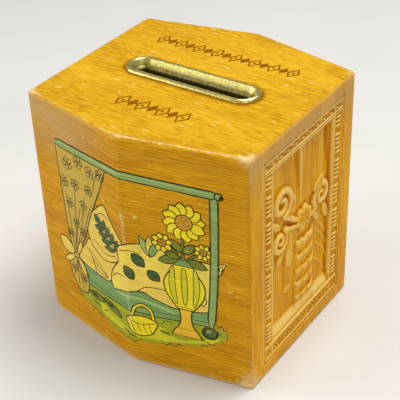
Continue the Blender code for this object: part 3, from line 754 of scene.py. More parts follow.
class Print:
    """Flat shapes laid over a surface in drawing order, each a thin closed sheet with its own tint."""

    def __init__(self, place, wear, creases=()):
        self.place, self.wear, self.creases = place, wear, creases
        self.points, self.flat, self.faces, self.tints = [], [], [], []
        self.count = 0

    def lay(self, flat, tint):
        """Makes a closed sheet of a flat mesh, a little above everything laid before it."""
        flat.normal_update()
        if sum(face.normal.z * face.calc_area() for face in flat.faces) < 0:
            bmesh.ops.reverse_faces(flat, faces=flat.faces)
        across = [vertex.co.x for vertex in flat.verts]
        for crease in self.creases:
            if min(across) < crease < max(across):
                everything = flat.verts[:] + flat.edges[:] + flat.faces[:]
                bmesh.ops.bisect_plane(flat, geom=everything, plane_co=(crease, 0, 0), plane_no=(1, 0, 0))
        flat.verts.index_update()
        flat.normal_update()
        first, total = len(self.points), len(flat.verts)
        high = SHEET_LOW + SHEET_STEP * self.count
        for height in (SHEET_FOOT, high):
            self.points += [self.place(*vertex.co.xy, height) for vertex in flat.verts]
            self.flat += [tuple(vertex.co.xy) for vertex in flat.verts]
        for face in flat.faces:
            ring = [first + vertex.index for vertex in face.verts]
            self.faces.append([total + corner for corner in ring])
            self.faces.append(ring[::-1])
        for edge in flat.edges:
            if edge.is_boundary:
                loop = edge.link_loops[0]
                a, b = first + loop.vert.index, first + loop.link_loop_next.vert.index
                self.faces.append([a, b, total + b, total + a])
        self.tints += [tint] * (2 * total)
        self.count += 1
        flat.free()

    def fill(self, outline, tint):
        flat = bmesh.new()
        ring = [flat.verts.new((x, y, 0)) for x, y in outline]
        bmesh.ops.triangulate(flat, faces=[flat.faces.new(ring)])
        self.lay(flat, tint)

    def line(self, path, width, tint=INK_BLACK, closed=False):
        """A ribbon along a path, with pointed ends if it is open."""
        path = np.asarray(path, float)
        ahead = np.roll(path, -1, axis=0) - path
        behind = path - np.roll(path, 1, axis=0)
        if not closed:
            ahead[-1], behind[0] = behind[-1], ahead[0]
        along = ahead / np.hypot(*ahead.T)[:, None] + behind / np.hypot(*behind.T)[:, None]
        along /= np.maximum(np.hypot(*along.T), 1e-9)[:, None]
        side = np.column_stack((-along[:, 1], along[:, 0])) * width / 2
        if not closed:
            side[[0, -1]] *= POINTED
        flat = bmesh.new()
        rims = [[flat.verts.new((x, y, 0)) for x, y in path + sign * side] for sign in (-1, 1)]
        for i in range(len(path) if closed else len(path) - 1):
            j = (i + 1) % len(path)
            flat.faces.new((rims[0][i], rims[0][j], rims[1][j], rims[1][i]))
        self.lay(flat, tint)

    def lines(self, width, *paths, steps=10):
        """Smooth inked lines through points."""
        for path in paths:
            self.line(curve(path, steps), width)

    def rod(self, path, width, tint, ink_width):
        """A coloured line with an inked edge."""
        self.line(curve(path, 6), ink_width)
        self.line(curve(path, 6), width, tint)

    def shape(self, outline, tint, width=INK):
        """A filled outline with an inked edge."""
        self.fill(outline, tint)
        self.line(outline, width, closed=True)

    def leaf(self, base, tip, half, count, tint, width=INK, rib=0.24):
        """A leaf with a midrib."""
        self.shape(leaf_outline(base, tip, half, count), tint, width)
        self.line([base, tip], rib)

    def make(self, name, finish):
        """Makes one object of all the sheets."""
        u, z = np.array(self.flat).T
        grain = np.column_stack((u, z, np.zeros(len(u))))
        attributes = {"tint": self.tints, "grain": grain, "wear": self.wear(u, z)}
        made = add_piece(name, self.points, self.faces, [finish], sharp=30, attributes=attributes)
        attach(made, "box")


def front_surface():
    """A function that gives the point over the front at (u, z), that high above the wood."""
    left, left_normals, left_along = wall_columns(FRONT_LEFT, PLAIN_SPACING)
    right, right_normals, right_along = wall_columns(FRONT_RIDGE, PLAIN_SPACING)
    along = np.concatenate((left_along - left_along[-1], right_along[1:]))
    places = np.hstack((np.concatenate((left, right[1:])), np.concatenate((left_normals, right_normals[1:]))))

    def place(u, z, height):
        x, y, normal_x, normal_y = (np.interp(u, along, column) for column in places.T)
        out = height - float(front_sink(u, z))
        return (x + normal_x * out, y + normal_y * out, z)

    return place


def ridge_creases():
    """Where the front bends, as distances from the ridge."""
    arc, _ = corner_arc(FRONT_RIDGE)
    half = math.dist(arc[0], arc[ARC_STEPS])
    return np.linspace(-half, half, ARC_STEPS + 1)


def blob(points, steps):
    """A smooth closed outline through points."""
    return curve(points, steps, closed=True)


def ellipse(middle, across, up, count, tilt=0.0):
    """So many points round an ellipse with these half widths, turned by a tilt in degrees."""
    turns = 2 * math.pi * np.arange(count) / count
    x, y = across * np.cos(turns), up * np.sin(turns)
    c, s = math.cos(math.radians(tilt)), math.sin(math.radians(tilt))
    return np.column_stack((middle[0] + c * x - s * y, middle[1] + s * x + c * y))


def leaf_outline(base, tip, half, count=7):
    """A pointed leaf between two points."""
    base, tip = np.array(base, float), np.array(tip, float)
    t = np.linspace(0, 1, count)[:, None]
    side = np.array((-(tip - base)[1], (tip - base)[0])) / math.dist(base, tip)
    middle = base + (tip - base) * t
    bulge = side * half * np.sin(math.pi * t) ** 0.8
    return np.concatenate((middle + bulge, (middle - bulge)[-2:0:-1]))


def draw_grass(sheet):
    edge = [(-26, 15.4), (-24, 13.2), (-19, 11.6), (-12, 9.3), (-3.4, 8.1), (7, 9.5), (15, 10.8)]
    edge += [(22, 12.6), (28, 14.8), (32.4, 17.8), (32.4, 21), (29.5, 22.4)]
    ragged = [(u, z + (0.45 if step % 2 else -0.35)) for step, (u, z) in enumerate(curve(edge, 5))]
    sheet.fill([*ragged, (10, 22.5), (-10, 22.5), (-22, 22), (-25, 19)], GRASS)
    light = [(-15, 16.4), (-6, 13.6), (4, 12), (10, 17), (16, 13.6), (24, 15.4), (30.4, 18), (26, 14.4)]
    light += [(8, 10.8), (-6, 10.4), (-14, 12.4)]
    sheet.fill(blob(light, 4), GRASS_LIGHT)
    for step, (u, z) in enumerate(ragged[1::2]):
        lean = 0.5 * math.sin(2.3 * step)
        sheet.line([(u - 0.7, z + 0.7), (u, z - 0.15), (u + 0.3 + lean, z + 0.9)], 0.34, SHADE_GREEN)
    for start in range(0, len(ragged) - 7, 9):
        sheet.line(ragged[start : start + 6], 0.3)
    for middle, across in (((-16.6, 14.4), 2.2), ((-1, 11), 3), ((12, 15), 2), ((29.4, 20), 1.6)):
        sheet.fill(ellipse(middle, across, 0.7, 12, -12), SHADE_GREEN)
    mounds = [[(10.6, 17.8), (12.4, 20), (15, 19.2)], [(-13.4, 13), (-10.6, 14.6), (-8, 13.2)]]
    mounds += [[(24, 17), (25, 15.4), (27, 14.8)], [(29.6, 21.8), (31, 23), (31.8, 21.4)]]
    sheet.lines(0.28, *mounds, steps=5)


def draw_bed(sheet):
    base = [(-22.4, 29), (-8.7, 29.4), (2.8, 29.6), (16, 28), (28.4, 29.4), (27.6, 21.6), (17.9, 21.3)]
    base += [(9.8, 20.6), (-1.9, 20.8), (-11, 20.4), (-20.6, 20.4), (-19.6, 24)]
    sheet.shape(base, BED_TEAL)
    sheet.lines(0.22, [(-19.2, 22.4), (-8, 22.2), (4, 22.8), (16, 22.9), (27.4, 23.4)])
    sheet.line(curve([(-6, 25.2), (3, 26.4), (9, 25.4), (15.6, 23.9)]), 0.9, PALE_GREEN)
    under = [(-23.6, 29.6), (-19.6, 36.8), (-16, 41), (-8, 42), (-2.6, 39), (-5.6, 33), (-8.7, 27.6)]
    sheet.shape(blob([*under, (-15, 27.4)], 4), SHADE_CREAM)
    for drop in (0, 2.2, 4.6, 6.6):
        fold = [(-19.4 + 0.5 * drop, 36.4 - 0.6 * drop), (-14.6, 33.4 - drop * 0.9), (-9.4, 29 - drop * 0.1)]
        sheet.lines(0.28, fold)


def draw_pillow(sheet):
    pillow = [(-17.4, 43), (-16, 49), (-12.6, 53.4), (-8.4, 56.6), (-5.9, 52.8), (-3.4, 49), (-0.9, 45.4)]
    pillow += [(-2.6, 39.4), (-6, 36.4), (-11, 35.4), (-15.6, 38.4)]
    sheet.shape(blob(pillow, 5), SHADE_CREAM)
    sheet.lines(0.28, [(-13.6, 50.6), (-9.6, 53), (-6.6, 52)], [(-14.8, 41), (-9.4, 38), (-4.4, 39.4)])
    draw_sprig(sheet, (-3.8, 40.4), (-10.4, 48.2), 3.9)


def draw_blanket(sheet):
    cloth = [(-3.4, 43.4), (-0.4, 46), (3.4, 47.4), (8, 48), (14, 47), (20, 45.6), (28.4, 45.6), (28, 38.6)]
    cloth += [(27.4, 29), (25, 26.8), (16.2, 25.9), (8.6, 27.9), (5.6, 29.4), (2, 28.8), (-2.6, 27.2)]
    cloth += [(-7, 26.2), (-7.6, 30.6), (-5.8, 34.8), (-3.4, 38.4)]
    sheet.shape(blob(cloth, 5), CREAM)
    shadow = [(6, 30.6), (12, 31.8), (18, 31.6), (24, 30.8), (26.4, 28.6), (24.4, 27.4), (16.2, 26.6)]
    sheet.fill(blob([*shadow, (9.4, 28.6)], 4), SHADE_CREAM)
    sheet.lines(0.32, [(3.4, 29.4), (6.4, 31.6), (11.6, 32.2), (16, 31.4)])
    sheet.lines(0.3, [(-7, 30.6), (-4.4, 33.2), (-1, 33.4)], [(-2.6, 43), (1.4, 44.4), (5.4, 44)])
    sheet.shape([(29.4, 46.2), (33, 47), (31.6, 43.4), (29.2, 40.2)], CREAM)
    sheet.line(ellipse((31.4, 45), 0.5, 1.1, 10, -15), 0.28, closed=True)
    sheet.line(ellipse((25.6, 31), 0.7, 1.7, 12, -15), 0.3, closed=True)
    for tip, tint in (((5.4, 51), PALE_GREEN), ((8.6, 51.6), CREAM), ((11, 49.6), RAIL_GREEN)):
        sheet.leaf((8.6, 43.6), tip, 1.2, 8, tint, 0.3)
    for base, tip in (((-0.8, 38.2), (2.4, 33.6)), ((2.4, 43.6), (6.4, 39.4)), ((7.4, 38.4), (11.2, 35.2))):
        sheet.leaf(base, tip, 1.9, 9, DEEP_GREEN, rib=0.25)


def draw_sprig(sheet, root, tip, size):
    """A dark leafy sprig with paired leaves."""
    root, tip = np.array(root), np.array(tip)
    sheet.line([root, (root + tip) / 2, tip], 0.5)
    direction = (tip - root) / math.dist(root, tip)
    side = np.array((-direction[1], direction[0]))
    for pair in range(4):
        start = root + (tip - root) * (0.12 + 0.24 * pair)
        for sign in (-1, 1):
            end = start + direction * size * 0.7 + side * sign * size * (1.1 - 0.1 * pair)
            sheet.shape(leaf_outline(start, end, size * 0.27), DEEP_GREEN, 0.25)
    sheet.shape(leaf_outline(tip, tip + direction * size * 1.1, size * 0.34), DEEP_GREEN, 0.25)


def draw_flower_ring(sheet, middle, radius):
    """A five-petalled flower in outline."""
    for petal in range(5):
        turn = 2 * math.pi * petal / 5 + middle[0]
        centre = (middle[0] + radius * 0.6 * math.cos(turn), middle[1] + radius * 0.6 * math.sin(turn))
        sheet.line(ellipse(centre, radius * 0.4, radius * 0.44, 10), 0.3, closed=True)


def draw_curtain(sheet):
    cloth = [(-29.4, 70.6), (-5.6, 70.6), (-9.6, 61), (-14.5, 51.1), (-19.1, 39.9), (-23.6, 31)]
    cloth += [(-26.2, 30.4), (-27.4, 35.2), (-28.1, 42.4), (-28.4, 50.3), (-29.1, 58.8)]
    sheet.shape(cloth, CURTAIN)
    folds = (
        [(-25.6, 31), (-26, 42), (-27, 54)],
        [(-25, 31.4), (-23.2, 44), (-21.8, 59)],
        [(-24.8, 31.4), (-20.8, 42), (-17.2, 56)],
        [(-24.4, 31.4), (-19.6, 41.4), (-14.4, 54)],
        [(-25.2, 31.4), (-22.6, 42), (-20.4, 50)],
        [(-9, 69), (-11.4, 64), (-12.4, 60)],
    )
    sheet.lines(0.3, *folds, steps=6)
    flowers = ((-24.4, 64.8), (-18.8, 67.4), (-13.6, 66), (-8.6, 67), (-27, 57.4), (-21.6, 58.2))
    flowers += ((-15, 58.8), (-25.4, 50), (-18.4, 52), (-23, 43.2), (-26.6, 38), (-19.8, 41))
    for step, flower in enumerate(flowers):
        draw_flower_ring(sheet, flower, 2.2 - 0.06 * step)


def draw_flounce(sheet):
    cloth = [(-28.8, 27), (-23.6, 28.6), (-20.4, 24), (-20.2, 19), (-22, 15.6), (-25.8, 16), (-28.6, 21)]
    sheet.shape(blob(cloth, 5), CURTAIN)
    for u, z in ((-27.4, 20.4), (-25.4, 17.4), (-23, 16.8), (-21.4, 18.6)):
        sheet.lines(0.28, [(-25, 28.2), ((u - 25) / 2, (z + 27) / 2), (u, z)], steps=5)
    for flower in ((-27, 23.6), (-22.6, 21.4)):
        draw_flower_ring(sheet, flower, 1.5)


def draw_bow(sheet):
    loops = (
        [(-25.2, 30), (-28.6, 34.2), (-32.6, 34), (-31.8, 30), (-28.4, 28.8)],
        [(-24.6, 30), (-21.8, 33.4), (-21.4, 36.6), (-23.4, 34.6)],
        [(-25.2, 29.6), (-28.6, 28.4), (-31.6, 25.4), (-28.8, 25.4)],
        [(-24.6, 29.4), (-21.4, 27), (-20.6, 22.6), (-23, 25)],
    )
    for loop in loops:
        sheet.shape(blob(loop, 5), SHADE_CREAM, 0.35)
    sheet.shape(ellipse((-24.9, 29.7), 1.3, 1.1, 12), CURTAIN, 0.35)


def draw_rail_and_post(sheet):
    sheet.rod([(29.8, 70), (29.7, 60), (29.1, 40), (27.7, 21.6)], 2.0, RAIL_GREEN, 2.9)
    rail = [(-29.6, 70.8), (-15, 70.9), (-0.6, 71.2), (7, 71), (20, 70.6), (31.2, 70.3)]
    sheet.rod(rail, 2.1, RAIL_GREEN, 2.9)
    sheet.shape(ellipse(rail[-1], 1.2, 1.1, 14), RAIL_GREEN, 0.4)
    sheet.fill(ellipse((32.1, 69.9), 0.7, 0.8, 10), INK_BLACK)
    sheet.line(curve([(-28, 71.2), (-10, 71.4), (6, 71.5), (28, 70.9)], 8), 0.45, PALE_GREEN)
    sheet.shape(ellipse((27.2, 19.2), 2.4, 2.2, 18), DEEP_GREEN, 0.7)
    sheet.fill(ellipse((26.7, 19.8), 0.9, 0.7, 12, 20), BED_TEAL)


def draw_basket(sheet):
    sheet.rod([(0.6, 18.8), (2, 22.6), (4.8, 24.2), (7.4, 22.4), (8.2, 18.6)], 0.7, YELLOW, 1.4)
    body = [(-1.6, 17.6), (3.8, 19.6), (9.2, 18.2), (8.4, 14.6), (6.4, 12.4), (3, 11.4), (0, 12.6)]
    sheet.shape(blob([*body, (-1.2, 14.8)], 5), YELLOW)
    sheet.lines(0.3, [(-1.4, 17.4), (3.6, 16.2), (9, 17.8)], steps=6)
    for step in range(4):
        u = 0.2 + 2.1 * step
        sheet.lines(0.25, [(u, 16.6), (u + 0.4, 14.6), (u + 1.2, 12.8)], steps=4)


def draw_slippers(sheet):
    for start, end in (((-20.4, 17.6), (-11.8, 17.4)), ((-12.8, 18.8), (-4, 15.2))):
        sheet.shape(leaf_outline(start, end, 1.35, 9), LEAF_GREEN)
        middle = (0.64 * start[0] + 0.36 * end[0], 0.64 * start[1] + 0.36 * end[1])
        sheet.fill(ellipse(middle, 1.6, 0.6, 12, -10), INK_BLACK)


def draw_petal_flower(sheet, middle, radius, petals):
    """A big yellow flower with scalloped petals and a seeded heart."""
    middle = np.array(middle)
    for petal in range(petals):
        turn = 2 * math.pi * (petal + 0.3) / petals
        ray = np.array((math.cos(turn), math.sin(turn)))
        reach = radius * (1 + 0.06 * math.sin(3.1 * petal))
        outline = leaf_outline(middle + 0.25 * radius * ray, middle + reach * ray, radius * 0.27, 8)
        sheet.shape(outline, YELLOW, 0.34)
    sheet.shape(ellipse(middle, radius * 0.4, radius * 0.4, 16), HEART, 0.35)
    for step in range(7):
        turn = 2.4 * step
        seed = middle + 0.11 * radius * math.sqrt(step) * np.array((math.cos(turn), math.sin(turn)))
        sheet.fill(ellipse(seed, 0.24, 0.24, 6), INK_BLACK)


def draw_vase(sheet):
    """A footed yellow vase with darker panels and a green neck."""
    belly = [(4.2, 45.4), (3.2, 43.2), (4.6, 40.4), (6.6, 36.6), (6.4, 32.6), (4.4, 28.8), (2.6, 26.4)]
    foot = [(2.2, 26.8), (1.8, 23.6), (2.2, 20.4), (4.2, 17.4), (5, 15.6)]
    for half, tint in ((foot, HEART_LIGHT), (belly, YELLOW)):
        right = curve(half, 4)
        outline = np.concatenate((right, right[::-1] * (-1, 1))) + (VASE_MIDDLE, 0)
        sheet.shape(outline, tint)
    for lean in (-0.62, 0, 0.62):
        x = VASE_MIDDLE + 6 * lean
        panel = [(x - 0.6, 41.6), (x + 0.6, 41.6), (x + 1 + 0.5 * lean, 35), (x + 0.5 - lean, 28.8)]
        panel += [(x - 0.5 - lean, 28.8), (x - 1 + 0.5 * lean, 35)]
        sheet.shape(blob(panel, 3), GRASS_LIGHT, 0.26)
    collar = [(-3.9, 45.8), (3.9, 45.8), (3.2, 43), (-3.2, 43)]
    sheet.shape([(VASE_MIDDLE + x, z) for x, z in collar], BED_TEAL, 0.34)
    for half, z in ((2.9, 27.2), (3.4, 18.6)):
        sheet.line([(VASE_MIDDLE - half, z), (VASE_MIDDLE + half, z)], 0.3)


def draw_bouquet(sheet):
    stems = (
        [(19.4, 45), (19.4, 50), (20, 57)],
        [(18.6, 45), (16.6, 48), (13.6, 50)],
        [(20.4, 45), (23, 47.6), (26, 49)],
    )
    for stem in stems:
        sheet.rod(stem, 0.6, LEAF_GREEN, 1.15)
    leaves = (
        ((18.2, 45.6), (11.2, 43.4), 1.6),
        ((20.6, 45.6), (27.2, 43.6), 1.5),
        ((19.4, 47.6), (23.4, 51.6), 1.4),
        ((19.3, 48), (15.6, 52.2), 1.4),
        ((18.6, 46), (13.4, 46.6), 1.2),
    )
    for base, tip, half in leaves:
        sheet.leaf(base, tip, half, 8, LEAF_GREEN, 0.35)
    for middle, radius, petals in (((12.8, 50.2), 3.6, 8), ((26, 49.6), 3.1, 8), ((20.2, 59), 6.9, 12)):
        draw_petal_flower(sheet, middle, radius, petals)


def make_front_print(finish):
    sheet = Print(front_surface(), front_wear, ridge_creases())
    for draw in (draw_grass, draw_bed, draw_pillow, draw_blanket, draw_flounce, draw_curtain, draw_bow):
        draw(sheet)
    for draw in (draw_slippers, draw_basket, draw_vase, draw_bouquet, draw_rail_and_post):
        draw(sheet)
    sheet.make("front_print", finish)


def lozenge(middle, half, size):
    """A slanted lozenge, so far to each side and so far up and down."""
    x, y = middle
    slant = 0.22 * size
    return [(x - half, y), (x - slant, y - size), (x + half, y), (x + slant, y + size)]


def make_top_stamp(finish):
    """Two rows of plain ornament on the top: open lozenges with filled ones between them."""
    sheet = Print(lambda x, y, height: (x, y, HEIGHT + height), lambda x, y: np.zeros(len(x)))
    rows = ((-24.4, 24.4, 19.4, 15, 2.7), (-10.8, 10.8, -20.5, 7, 3.0))
    for start, end, y, count, size in rows:
        step = (end - start) / (count - 1)
        for index in range(count):
            middle = (start + step * index, y)
            if index % 2:
                sheet.fill(lozenge(middle, 0.42 * step, 0.8 * size), STAMP_BROWN)
            else:
                sheet.line(lozenge(middle, 0.5 * step, size), 0.85, STAMP_BROWN, closed=True)
                sheet.fill(ellipse(middle, 0.5, 0.6, 8), STAMP_BROWN)
    sheet.make("top_stamp", finish)


# Materials


class Shader:
    """A new material and its nodes. An input is a value or a socket, and a colour can be (r, g, b)."""

    def __init__(self, name, on_cad=False):
        self.material = bpy.data.materials.new(name)
        self.material.use_nodes = True
        self.tree = self.material.node_tree
        if on_cad:  # there are no grain coordinates, only the object's own
            own = self.node("TexCoord").outputs["Object"]
            in_mm = self.node("VectorMath", {0: own, 1: (1 / MM,) * 3}, operation="MULTIPLY")
            self.place = in_mm.outputs[0]
        else:
            self.place = self.attribute("grain", "Vector")

    def set_inputs(self, made, inputs):
        for key, value in inputs.items():
            if isinstance(value, bpy.types.NodeSocket):
                self.tree.links.new(value, made.inputs[key])
            else:
                made.inputs[key].default_value = value

    def node(self, kind, inputs=None, **settings):
        made = self.tree.nodes.new("ShaderNode" + kind)
        for key, value in settings.items():
            setattr(made, key, value)
        self.set_inputs(made, inputs or {})
        return made

    def attribute(self, name, output="Fac"):
        return self.node("Attribute", attribute_name=name).outputs[output]

    def axis(self, name):
        return self.node("SeparateXYZ", {0: self.place}).outputs[name]

    def calc(self, operation, *values, clamp=False):
        return self.node("Math", dict(enumerate(values)), operation=operation, use_clamp=clamp).outputs[0]

    def times(self, first, second, *plus, clamp=False):
        """first * second, plus a third if there is one."""
        return self.calc("MULTIPLY_ADD" if plus else "MULTIPLY", first, second, *plus, clamp=clamp)

    def noise(self, size, detail=4.0, rough=0.6, bend=0.0):
        """Noise from 0 to 1 whose features have this size in millimetres along each axis."""
        scale = [1 / value for value in size]
        scaled = self.node("VectorMath", {0: self.place, 1: scale}, operation="MULTIPLY").outputs[0]
        inputs = {"Vector": scaled, "Scale": 1.0, "Detail": detail, "Roughness": rough, "Distortion": bend}
        return self.node("TexNoise", inputs).outputs["Fac"]

    def fade(self, value, low, high, to_low=0.0, to_high=1.0):
        """A soft step from to_low at low to to_high at high."""
        inputs = {"Value": value, "From Min": low, "From Max": high, "To Min": to_low, "To Max": to_high}
        return self.node("MapRange", inputs, interpolation_type="SMOOTHSTEP").outputs[0]

    def mix(self, factor, first, second, blend="MIX"):
        first, second = (srgb(*c) if isinstance(c, tuple) else c for c in (first, second))
        inputs = {0: factor, 6: first, 7: second}
        return self.node("Mix", inputs, data_type="RGBA", blend_type=blend).outputs[2]

    def darken(self, factor, colour, by):
        return self.mix(factor, colour, by, "MULTIPLY")

    def ramp(self, value, *stops):
        """A colour from (position, colour) stops."""
        made = self.node("ValToRGB", {"Fac": value})
        elements = made.color_ramp.elements
        for spare in range(len(stops) - 2):
            elements.new(0.5)
        for element, (position, colour) in zip(elements, stops):
            element.position = position
            element.color = srgb(*colour)
        return made.outputs["Color"]

    def bump(self, height, distance, strength):
        """A normal from a height; the distance is in millimetres."""
        inputs = {"Height": height, "Distance": distance * MM, "Strength": strength}
        return self.node("Bump", inputs).outputs[0]

    def finish(self, **inputs):
        """Sets the surface's inputs, and gives the material."""
        named = {key.replace("_", " "): value for key, value in inputs.items()}
        self.set_inputs(self.tree.nodes["Principled BSDF"], named)
        return self.material


def add_wear(s, colour, worn_colour, fleck_colour, flecked=0.7):
    """Pale worn patches where the piece says it is worn, and a few pale flecks anywhere."""
    ragged = s.times(s.noise((1.6, 0.8, 1.2), 5, 0.7), 1.8, -0.9)
    worn = s.fade(s.calc("ADD", s.attribute("wear"), ragged), 0.36, 0.8)
    patchy = s.fade(s.noise((2.6, 0.5, 0.7), 4, 0.7), 0.4, 0.62, 0.35, 0.95)
    colour = s.mix(s.times(worn, patchy), colour, worn_colour)
    clusters = s.fade(s.noise((20, 12, 12), 2, 0.5), 0.42, 0.58)
    flecks = s.fade(s.noise((3.2, 0.75, 0.9), 3, 0.5), flecked, flecked + 0.03)
    return s.mix(s.times(s.times(flecks, clusters), 0.8), colour, fleck_colour), worn


def ripples(s):
    """Wavy ribs across the second grain coordinate, from -1 to 1, stronger here and weaker there."""
    waver = s.noise((9, 2.6, 3), 3, 0.55)
    turn = s.times(waver, 15.0, s.times(s.axis("Y"), 2 * math.pi / RIB_PITCH))
    strength = s.fade(s.noise((10, 3, 3), 2, 0.5), 0.35, 0.6, 0.25, 1.0)
    return s.times(s.calc("SINE", turn), strength)


def slot_painted_halo(s, colour):
    """A painted olive halo round the brass rim, darkening the lacquer: shade at the rim and light bounced off
    the brass.
    """
    beyond = s.calc("MAXIMUM", s.calc("SUBTRACT", s.calc("ABSOLUTE", s.axis("X")), HALF_SLOT), 0.0)
    distance = s.calc("SQRT", s.times(beyond, beyond, s.calc("POWER", s.axis("Y"), 2.0)))
    distance = s.times(s.noise((5, 4, 4), 3, 0.6), -2.4, distance)
    return s.darken(s.fade(distance, PLATE_HIGH[1] + 0.9, PLATE_HIGH[1] - 1.3), colour, (168, 150, 40))


def side_painted_sheen(s, colour):
    """A painted pale sheen along the top of the right side: reflected light on the lacquer."""
    high = s.fade(s.axis("X"), SIDE_GRAIN + 68, SIDE_GRAIN + 80)
    cloud = s.fade(s.noise((9, 16, 9), 3, 0.5), 0.2, 0.7, 0.35, 0.75)
    return s.mix(s.times(high, cloud), colour, SHEEN_TINT)


def front_painted_sheen(s, colour):
    """A painted pale sheen at the upper left of the front: reflected light on the lacquer."""
    corner = s.times(s.fade(s.axis("X"), 2.0, -26.0), s.fade(s.axis("Y"), 56.0, 80.0))
    cloud = s.fade(s.noise((16, 9, 9), 3, 0.5), 0.2, 0.7, 0.4, 0.95)
    return s.mix(s.times(corner, cloud), colour, SHEEN_TINT)


def lacquered_wood(name, tones, line_size, streak, line, rib=0.0, flecked=0.69, sheen=None, halo=None):
    """Honey-coloured lacquer over grain that runs along the piece's first grain coordinate."""
    s = Shader(name)
    dark, mid, light = tones
    streaks = s.noise((11, 1.1, 1.4), 5, 0.65, 0.25)
    lines = s.noise(line_size, 3, 0.6)
    ribs = ripples(s)
    tone = s.times(streaks, streak, s.times(s.noise((40, 9, 9), 3, 0.5, 0.3), BROAD))
    tone = s.times(ribs, rib, s.times(lines, line, tone))
    middle = (streak + BROAD + line) / 2
    colour = s.ramp(s.fade(tone, middle - 0.13, middle + 0.13), (0.0, dark), (0.5, mid), (1.0, light))
    # Painted sheen of reflected light, where the piece has one
    if sheen is not None:
        colour = sheen(s, colour)
    pores = s.fade(s.noise((3.2, 0.22, 0.4), 2, 0.5), 0.62, 0.74)
    colour = s.darken(s.times(pores, 0.35), colour, dark)
    # Painted shade in the relief's hollows and painted highlight on its raised parts.
    shade_and_highlight = s.attribute("shade_and_highlight")
    colour = s.darken(s.fade(shade_and_highlight, 0.03, 0.5, 0.0, 0.6), colour, (190, 116, 20))
    colour = s.mix(s.fade(shade_and_highlight, -0.03, -0.3, 0.0, 0.75), colour, (252, 218, 124))
    # Painted halo of shade and bounced light round the slot, where the piece has one
    if halo is not None:
        colour = halo(s, colour)
    colour, worn = add_wear(s, colour, (232, 205, 148), (246, 224, 150), flecked)
    height = s.calc("SUBTRACT", s.times(lines, 0.5, s.times(streaks, 0.5)), s.times(worn, 0.5))
    height = s.times(ribs, 2.4 * rib, height)
    smudge = s.fade(s.noise((9, 7, 9), 3, 0.6), 0.3, 0.7, 0.34, 0.5)
    return s.finish(
        Base_Color=colour,
        Roughness=s.times(worn, 0.25, smudge),
        Normal=s.bump(height, 0.1, 0.8),
        Specular_IOR_Level=0.05,
        Coat_Weight=0.03,
        Coat_Roughness=0.25,
    )


def bare_wood(name, dark, light, upright=False):
    """Unfinished wood, for the inside and the door."""
    s = Shader(name, on_cad=True)
    turn = -1 if upright else 1
    streaks = s.noise((18, 1.4, 1.6)[::turn], 5, 0.65, 0.4)
    fine = s.noise((4, 0.3, 0.3)[::turn], 3, 0.6)
    stain = s.noise((13, 11, 12), 3, 0.5)
    colour = s.ramp(s.fade(streaks, 0.25, 0.8), (0.0, dark), (1.0, light))
    colour = s.darken(s.fade(fine, 0.5, 0.75, 0.0, 0.35), colour, dark)
    colour = s.darken(s.fade(stain, 0.5, 0.75, 0.0, 0.4), colour, (120, 86, 52))
    return s.finish(Base_Color=colour, Roughness=0.72, Normal=s.bump(s.calc("ADD", fine, streaks), 0.12, 0.6))


def printed(name):
    """Printed colours under the lacquer, a little uneven, and flaked where the ridge is worn."""
    s = Shader(name)
    streaks = s.noise((12, 0.9, 1), 4, 0.6)
    patchy = s.noise((5, 4, 4), 3, 0.6)
    shade = s.ramp(s.fade(streaks, 0.25, 0.8), (0.0, (228, 220, 196)), (1.0, (255, 255, 250)))
    colour = s.darken(1.0, s.attribute("tint", "Color"), shade)
    colour = s.mix(s.fade(patchy, 0.45, 0.8, 0.0, 0.25), colour, (220, 172, 70))
    colour, worn = add_wear(s, colour, (232, 210, 160), (236, 214, 150))
    return s.finish(
        Base_Color=colour,
        Roughness=s.times(worn, 0.25, 0.42),
        Normal=s.bump(streaks, 0.05, 0.5),
        Specular_IOR_Level=0.14,
        Coat_Weight=0.08,
        Coat_Roughness=0.3,
    )


def stamped(name):
    """Brown stamping ink that has worn through in places."""
    s = Shader(name)
    gaps = s.fade(s.noise((1.3, 0.6, 1), 4, 0.65), 0.54, 0.76, 0.03, 0.6)
    colour = s.mix(gaps, s.attribute("tint", "Color"), (196, 132, 12))
    return s.finish(Base_Color=colour, Roughness=0.5, Specular_IOR_Level=0.04)


def aged_brass(name, has_tarnish_and_shade=False):
    """Yellow brass with dull olive tarnish, dark spots and fine scratches; in the slot also silvery patches
    that are partly painted highlight, and dirt and painted shadow deep in the throat.
    """
    s = Shader(name, on_cad=True)
    spots = s.noise((1.1, 0.8, 0.8), 5, 0.75, 0.4)
    scratches = s.noise((3.0, 0.25, 0.4), 3, 0.6, 0.6)
    dull = s.fade(spots, 0.45, 0.72, 0.0, 0.6)
    if has_tarnish_and_shade:
        tarnish_and_shade = s.attribute("tarnish_and_shade")
        dull = s.times(tarnish_and_shade, 0.4, dull, clamp=True)
    colour = s.mix(dull, (238, 222, 132), (132, 116, 34))
    colour = s.mix(s.fade(spots, 0.66, 0.76, 0.0, 0.7), colour, (48, 44, 28))
    if has_tarnish_and_shade:
        # Silvery grey patches lower in the slot, partly a painted highlight
        silvery = s.fade(s.noise((2.6, 1.4, 1.4), 4, 0.7), 0.54, 0.7, 0.0, 0.6)
        colour = s.mix(s.times(silvery, tarnish_and_shade, clamp=True), colour, (182, 182, 184))
        # Near black deep in the throat: dirt and painted shadow of the slit
        colour = s.mix(s.fade(tarnish_and_shade, 0.8, 2.5, 0.0, 0.94), colour, (34, 26, 10))
    return s.finish(
        Base_Color=colour,
        Metallic=1.0,
        Roughness=s.times(dull, 0.22, s.fade(scratches, 0.35, 0.7, 0.18, 0.36)),
        Normal=s.bump(s.calc("ADD", spots, scratches), 0.07, 0.7),
    )


